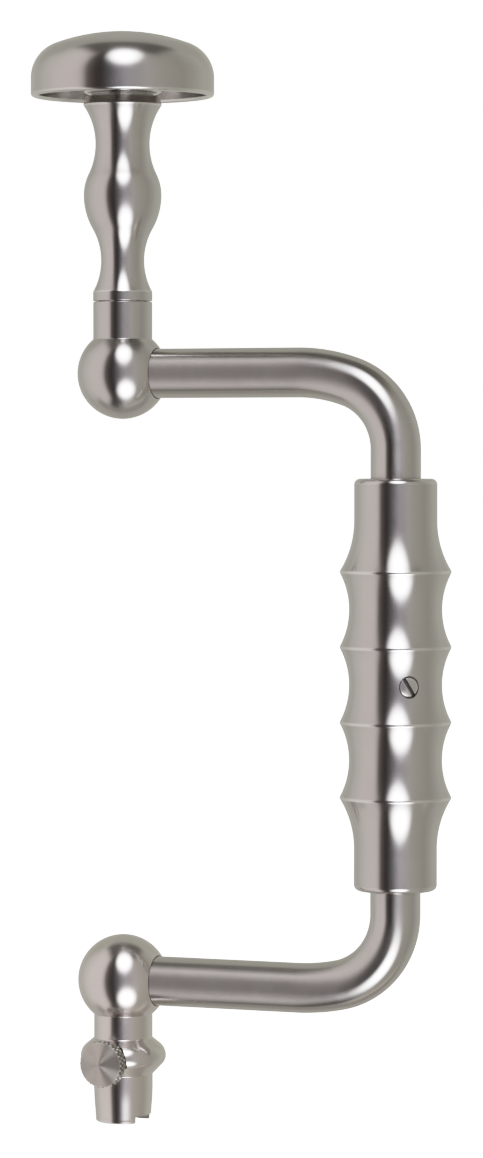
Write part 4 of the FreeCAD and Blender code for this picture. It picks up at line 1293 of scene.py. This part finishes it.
    def build(self, finishes: Finishes) -> None:
        """Make and dress the handle and the knob.

        The handle's lowest edge, at the fine gap, stays as dark as the rest.

        Args:
            finishes: the finishes of the brace.
        """
        below, above = self.plain_edge
        surface = turned(self.handle_outline(), closed=True,
                         plain=(self.foot - below, self.foot + above))
        handle = make("waisted_handle", surface)
        finish_piece(handle, finishes.of(finishes.satin), "palm_rest",
                     ["rest_handle"])
        knob = make("hollow_palm_knob", turned(self.knob_outline(), columns=320))
        finish_piece(knob, finishes.of(finishes.satin), "palm_rest",
                     ["palm_knob"])


@dataclass
class SideGrip:
    """The ridged sleeve on the upright of the crank, with its slotted screw."""

    axis: float = 74.3
    bottom: float = 62.191
    top: float = 165.604
    end: float = 20.9
    end_round: float = 1.5
    flare: float = 24.0
    ridge: float = 28.3
    ridges: int = 4
    end_run: float = 23.35
    valley: float = 19.6
    crest_round: float = 0.5
    bore: float = 14.0
    bush: float = 16.4
    bush_depth: float = 15.5
    screw_angle: float = 36.4
    screw: float = 5.0
    thread_gap: float = 0.03
    hole_start: float = 3.0
    hole_drop: float = 0.3
    hole_flare: float = 0.45
    screw_recess: float = 0.2
    screw_chamfer: float = 0.3
    face_chamfer: tuple[float, float] = (0.2, 0.12)
    face_curve: float = 11.1
    slot_width: float = 0.9
    slot_depth: float = 0.9
    slot_tilt: float = 31.0
    point: float = 2.4
    tip: float = 5.3
    shoulder: float = 6.75

    def pitch(self) -> float:
        """Return the distance from ridge to ridge."""
        return (self.top - self.bottom - 2 * self.end_run) / (self.ridges - 1)

    def middle(self) -> float:
        """Return the height of the grip's middle, where its screw is."""
        return (self.bottom + self.top) / 2

    def floor(self) -> float:
        """Return the grip's radius at the floor of a valley."""
        drop = math.sqrt(self.valley ** 2 - (self.pitch() / 2) ** 2)
        return self.ridge / 2 + drop - self.valley

    def outline(self) -> Array:
        """Draw the ring profile of the sleeve.

        Arcs of the valley's radius hang from ridge to ridge, and a wider arc runs from
        the last ridge out to each plain end.

        Returns:
            Radii and heights.
        """
        smooth, crest, corner = self.end / 2, self.ridge / 2, self.end_round
        rise = crest - smooth
        run = math.sqrt(2 * self.flare * rise - rise ** 2)
        first, last = self.bottom + self.end_run, self.top - self.end_run
        seat, bore = self.bush / 2, self.bore / 2
        low, high = self.bottom + self.bush_depth, self.top - self.bush_depth
        edge = self.crest_round
        line = Outline((seat, self.bottom)).line(smooth - corner, self.bottom)
        line.arc(smooth, self.bottom + corner, corner, 1).line(smooth, first - run)
        line.arc(crest, first, self.flare, -1, edge)
        for index in range(1, self.ridges):
            line.arc(crest, first + index * self.pitch(), self.valley, -1, edge)
        line.arc(smooth, last + run, self.flare, -1).line(smooth, self.top - corner)
        line.arc(smooth - corner, self.top, corner, 1).line(seat, self.top, 0.15)
        line.line(seat, high).line(bore, high).line(bore, low).line(seat, low)
        line.line(seat, self.bottom, 0.15)
        return line.points(closed=True)

    def hole_cutter(self) -> Object:
        """Make the cutter of the screw's hole, with a broken edge at the valley.

        Returns:
            The cutter, a cylinder out along the screw.
        """
        radius, floor = self.screw / 2 + self.thread_gap, self.floor()
        top = floor + self.hole_flare
        line = Outline((0.0, self.hole_start)).line(radius, self.hole_start)
        line.line(radius, floor - self.hole_drop).line(radius + self.hole_flare, top)
        line.line(0.0, top)
        return make("screw_hole_cutter", turned(line.points(), columns=96),
                    facing(self.screw_angle, self.axis, self.middle()))

    def set_screw(self, lining: bpy.types.Material) -> Object:
        """Make the slotted screw, its dog point towards the bar, its face slightly domed.

        Args:
            lining: material of the slot, dark with painted shade.

        Returns:
            The screw.
        """
        thread, point, chamfer = self.screw / 2, self.point / 2, self.screw_chamfer
        inward, dome = self.face_chamfer
        face = self.floor() - self.screw_recess
        line = Outline((0.0, self.tip)).line(point, self.tip, 0.15).line(point, self.shoulder)
        line.line(thread - chamfer, self.shoulder).line(thread, self.shoulder + chamfer)
        line.line(thread, face - chamfer, 0.05).line(thread - inward, face - dome, 0.08)
        line.arc(0.0, face + dome, self.face_curve, 1)
        frame_of = facing(self.screw_angle, self.axis, self.middle(), self.slot_tilt)
        screw = make("slotted_set_screw", turned(line.points(), columns=96), frame_of)
        side, reach = self.slot_width / 2, self.screw
        slot = np.array([(-side, -reach), (side, -reach), (side, reach), (-side, reach)])
        # The slot's cut faces get the lining of painted shade.
        carve(screw, [make("slot_cutter", block(slot, face - self.slot_depth, face + 1.0),
                           frame_of)], lining)
        return screw

    def build(self, finishes: Finishes) -> None:
        """Make and dress the sleeve and its screw.

        Args:
            finishes: the finishes of the brace.
        """
        sleeve = make("ridged_grip_sleeve", turned(self.outline(), closed=True),
                      place_at(self.axis, 0, 0))
        # The screw hole's cut faces get the lining of painted shade.
        carve(sleeve, [self.hole_cutter()], finishes.of(finishes.painted_shade))
        finish_piece(sleeve, finishes.of(finishes.satin), "grip",
                     ["grip_sleeve"])
        # The screw's slot is lined with painted shade.
        screw = self.set_screw(finishes.of(finishes.painted_shade))
        finish_piece(screw, finishes.of(finishes.screw), "grip",
                     ["grip_set_screw"])


@dataclass
class InnerPieces:
    """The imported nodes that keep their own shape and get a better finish."""

    plan: dict[str, str] = field(default_factory=lambda: {
        "rest_spindle": "bright", "thrust_race_lower": "ground", "thrust_race_upper": "ground",
        "thrust_cage": "brass", "retaining_washer": "bright", "retaining_nut": "bright",
        "lower_bush": "bronze", "upper_bush": "bronze", "grip_bush_lower": "bronze",
        "grip_bush_upper": "bronze", "thumb_screw_shank": "bright"})

    def build(self, finishes: Finishes) -> None:
        """Dress every inner node.

        Args:
            finishes: the finishes of the brace.
        """
        for name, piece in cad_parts.items():
            kind = "ground" if name.startswith("thrust_ball") else self.plan.get(name)
            if kind is None:
                continue
            material = finishes.of(getattr(finishes, kind))
            for slot in piece.material_slots:
                slot.material = material
            LOG.info("%s: dressed in %s", name, material.name)


# Light, floor and camera


@dataclass(frozen=True)
class Softbox:
    """A round soft light in the surroundings.

    Args:
        middle: its middle, as degrees sideways and degrees of tilt.
        reach: half its width and half its height, in degrees.
        colour: its linear colour at the hot middle.
        core: where it starts to fade, as a share of its reach.
        edge: where it is gone, as a share of its reach.
    """

    middle: tuple[float, float]
    reach: tuple[float, float]
    colour: tuple[float, float, float]
    core: float = 0.3
    edge: float = 1.35

    def share(self, graph: Graph, sideways: Socket, tilt: Socket) -> Socket:
        """Return how much of the light is seen in a direction.

        The distance from the middle is the root of the two squared shares of the reach;
        the light fades softly from its core to its edge.

        Args:
            graph: the world's nodes.
            sideways: degrees sideways of the direction.
            tilt: degrees of tilt of the direction.

        Returns:
            1 inside the core and 0 past the edge.
        """
        across = graph.math("DIVIDE", graph.math("SUBTRACT", sideways, self.middle[0]),
                            self.reach[0])
        along = graph.math("DIVIDE", graph.math("SUBTRACT", tilt, self.middle[1]),
                           self.reach[1])
        far = graph.math("SQRT", graph.math("ADD", graph.math("MULTIPLY", across, across),
                                            graph.math("MULTIPLY", along, along)))
        return graph.smooth(far, self.edge, self.core)


@dataclass(frozen=True)
class Zone:
    """A band of the surroundings, over or under the object or behind it.

    Args:
        tilt: its lower and upper edge, in degrees of tilt.
        sideways: its left and right edge, in degrees sideways.
        colour: its linear colour.
        fade: half the width of its upper and lower edge, in degrees.
        side_fade: half the width of its left and right edge, in degrees.
    """

    tilt: tuple[float, float]
    sideways: tuple[float, float]
    colour: tuple[float, float, float]
    fade: float = 4.0
    side_fade: float = 7.0

    def share(self, graph: Graph, sideways: Socket, tilt: Socket) -> Socket:
        """Return how much of the zone is seen in a direction.

        It is the product of four soft steps, one for each edge.

        Args:
            graph: the world's nodes.
            sideways: degrees sideways of the direction.
            tilt: degrees of tilt of the direction.

        Returns:
            1 inside the zone and 0 outside it.
        """
        low, high = self.tilt
        left, right = self.sideways
        rise = graph.math("MULTIPLY", graph.smooth(tilt, low - self.fade, low + self.fade),
                          graph.smooth(tilt, high + self.fade, high - self.fade))
        soft = self.side_fade
        run = graph.math("MULTIPLY", graph.smooth(sideways, left - soft, left + soft),
                         graph.smooth(sideways, right + soft, right - soft))
        return graph.math("MULTIPLY", rise, run)


# The walls round the object: azimuth in degrees, then linear red, green and blue
WALLS = (
    (-180, .49, .49, .44), (-130, .53, .53, .50), (-112, .64, .625, .60),
    (-90, .72, .69, .68), (-62, .745, .70, .70), (-54, .68, .64, .64),
    (-48, .43, .40, .39), (-44, .16, .142, .136), (-38, .092, .08, .076),
    (-31, .052, .045, .043), (-25, .048, .042, .042), (-21, .068, .062, .065),
    (-16, .10, .095, .102), (-8, .165, .158, .174), (0, .26, .25, .275),
    (7, .345, .33, .36), (16, .385, .37, .392), (24, .44, .42, .43),
    (33, .49, .475, .465), (42, .465, .455, .42), (60, .425, .415, .375),
    (84, .38, .37, .33), (100, .42, .42, .375), (124, .51, .52, .465),
    (150, .50, .50, .45), (180, .49, .49, .44))


@dataclass
class Studio:
    """Soft studio surroundings, a pale floor and the camera of the photograph.

    Directions are told by the camera: azimuth grows to its right from the direction back
    to it, and tilt grows upwards in the plane through it and over the object. The
    camera's place is in metres.
    """

    camera_place: tuple[float, float, float] = (0.4374, -1.02045, 0.1739)
    camera_turn: float = 21.63
    camera_tip: float = 1.77
    lens: float = 134.4
    gap_edge: tuple[float, float] = (-32.0, -25.0)
    floor_level: float = -0.5
    floor_radius: float = 4000.0
    floor_depth: float = 20.0
    floor_glow: float = 1.6
    white: float = 1.8
    knee: float = 0.5
    roll: float = 1.8
    curve_points: int = 9
    softboxes: tuple[Softbox, ...] = (
        Softbox((3.0, 50.5), (18.0, 25.0), (3.3, 3.35, 3.5)),
        Softbox((9.0, -43.0), (20.5, 23.5), (3.6, 3.65, 3.8)))
    zones: tuple[Zone, ...] = (
        Zone((114.0, 158.0), (-42.0, 42.0), (.45, .45, .40), 12.0),
        Zone((68.0, 112.0), (-28.0, 34.0), (.13, .12, .11), 7.0),
        Zone((-150.0, -118.0), (-42.0, 42.0), (.48, .47, .43), 10.0),
        Zone((-118.0, -97.0), (-42.0, 42.0), (.34, .325, .295)),
        Zone((-96.0, -86.0), (-5.0, 42.0), (.66, .63, .58), 2.5),
        Zone((-98.0, -62.0), (-24.0, -4.0), (.09, .08, .075)))

    def camera(self) -> None:
        """Make the camera.

        It looks along the direction turned from +Y and tipped down by its two angles,
        with its long side upright.
        """
        turn, tip = math.radians(self.camera_turn), math.radians(self.camera_tip)
        forward = np.array([-math.sin(turn) * math.cos(tip), math.cos(turn) * math.cos(tip),
                            -math.sin(tip)])
        right = np.array([math.cos(turn), math.sin(turn), 0.0])
        up = np.cross(right, forward)
        data = bpy.data.cameras.new("photo_camera")
        data.lens, data.sensor_width, data.sensor_fit = self.lens, 36.0, "AUTO"
        camera = bpy.data.objects.new("photo_camera", data)
        axes = np.stack([right, up, -forward], axis=1)
        matrix = Matrix([[*axes[row], self.camera_place[row]] for row in range(3)]
                        + [[0, 0, 0, 1]])
        camera.matrix_world = matrix
        bpy.context.scene.collection.objects.link(camera)
        bpy.context.scene.camera = camera

    def surroundings(self) -> None:
        """Build the world: walls by azimuth, softboxes over and under the camera.

        The azimuth ramp gives walls and a dark gap left of the camera. The zones are
        laid over it by tilt, near the middle only, and the softboxes over all of them,
        where the gap leaves them free.
        """
        world = bpy.data.worlds.new("studio")
        bpy.context.scene.world = world
        world.use_nodes = True
        graph = Graph(world.node_tree)
        direction = graph.add("ShaderNodeTexCoord").outputs["Generated"]
        split = graph.add("ShaderNodeSeparateXYZ", {0: direction})
        x, y, z = split.outputs[:3]
        turn = math.radians(self.camera_turn)
        sine, cosine = math.sin(turn), math.cos(turn)
        across = graph.math("ADD", graph.math("MULTIPLY", x, cosine),
                            graph.math("MULTIPLY", y, sine))
        towards = graph.math("SUBTRACT", graph.math("MULTIPLY", x, sine),
                             graph.math("MULTIPLY", y, cosine))
        azimuth = graph.math("DEGREES", graph.math("ARCTAN2", across, towards))
        tilt = graph.math("DEGREES", graph.math("ARCTAN2", z, towards))
        share = graph.math("DIVIDE", graph.math("ADD", azimuth, 180.0), 360.0)
        seen = graph.ramp(share, [at_azimuth(*stop) for stop in WALLS])
        sideways = graph.math("DEGREES", graph.math("ARCSINE", across))
        for zone in self.zones:
            seen = graph.mix(zone.share(graph, sideways, tilt), seen, (*zone.colour, 1.0))
        open_side = graph.smooth(azimuth, *self.gap_edge)
        for softbox in self.softboxes:
            seen = graph.mix(graph.math("MULTIPLY", open_side,
                                        softbox.share(graph, sideways, tilt)), seen,
                             (*softbox.colour, 1.0))
        camera_ray = graph.add("ShaderNodeLightPath").outputs["Is Camera Ray"]
        shown = graph.mix(camera_ray, seen, (self.white, self.white, self.white, 1.0))
        shade = graph.add("ShaderNodeBackground", {"Color": shown, "Strength": 1.0})
        graph.add("ShaderNodeOutputWorld", {0: shade.outputs[0]})

    def floor(self) -> None:
        """Make the pale floor, a wide flat disc that glows a little."""
        material = bpy.data.materials.new("pale_floor")
        material.use_nodes = True
        graph = Graph(material.node_tree)
        place = graph.add("ShaderNodeTexCoord").outputs["Object"]
        tone = graph.ramp(graph.noise(place, 3.0, 3.0), [(0.3, (.9, .9, .89)),
                                                          (0.7, (.94, .94, .93))])
        shader = graph.add("ShaderNodeBsdfPrincipled", {
            "Base Color": tone, "Roughness": 0.7, "Emission Color": (1.0, 1.0, 1.0, 1.0),
            "Emission Strength": self.floor_glow})
        graph.add("ShaderNodeOutputMaterial", {0: shader.outputs[0]})
        angle = np.linspace(0.0, 2 * np.pi, 96, endpoint=False)
        outline = self.floor_radius * np.stack([np.cos(angle), np.sin(angle)], axis=1)
        low = self.floor_level - self.floor_depth
        disc = make("pale_floor", block(outline, low, self.floor_level))
        disc.data.materials.append(material)
        disc.visible_glossy = False

    def tones(self) -> None:
        """Let the highlights roll off softly, as they do in a photograph.

        Up to the knee a tone is kept. Past it the tone nears one by the exponential of
        the excess times the roll, scaled so that the white level gives one.
        """
        settings = bpy.context.scene.view_settings
        settings.view_transform = "Standard"
        settings.use_curve_mapping = True
        curves = settings.curve_mapping
        curves.white_level = (self.white,) * 3
        levels = np.linspace(self.knee, self.white, self.curve_points + 1)[:-1]
        shares = 1.0 - np.exp(-self.roll * (levels - self.knee))
        whole = 1.0 - math.exp(-self.roll * (self.white - self.knee))
        tones = self.knee + (1.0 - self.knee) * shares / whole
        points = curves.curves[3].points
        for level, tone in zip(levels, tones):
            points.new(float(level) / self.white, float(tone))
        for point in points:
            point.handle_type = "VECTOR"
        curves.update()

    def build(self) -> None:
        """Make the camera, the floor, the surroundings and the tones."""
        self.camera()
        self.floor()
        self.surroundings()
        self.tones()


def at_azimuth(degrees: float, red: float, green: float, blue: float
               ) -> tuple[float, tuple[float, float, float]]:
    """Return the ramp stop of an angle from -180 to 180 degrees."""
    return (degrees + 180.0) / 360.0, (red, green, blue)


def main() -> None:
    logging.basicConfig(level=logging.INFO, format="%(name)s: %(message)s")
    finishes = Finishes()
    Studio().build()
    for assembly in (Crank(), UpperBoss(), Chuck(), PalmRest(), SideGrip(), InnerPieces()):
        LOG.info("building %s", type(assembly).__name__)
        assembly.build(finishes)


if __name__ == "__main__":
    main()
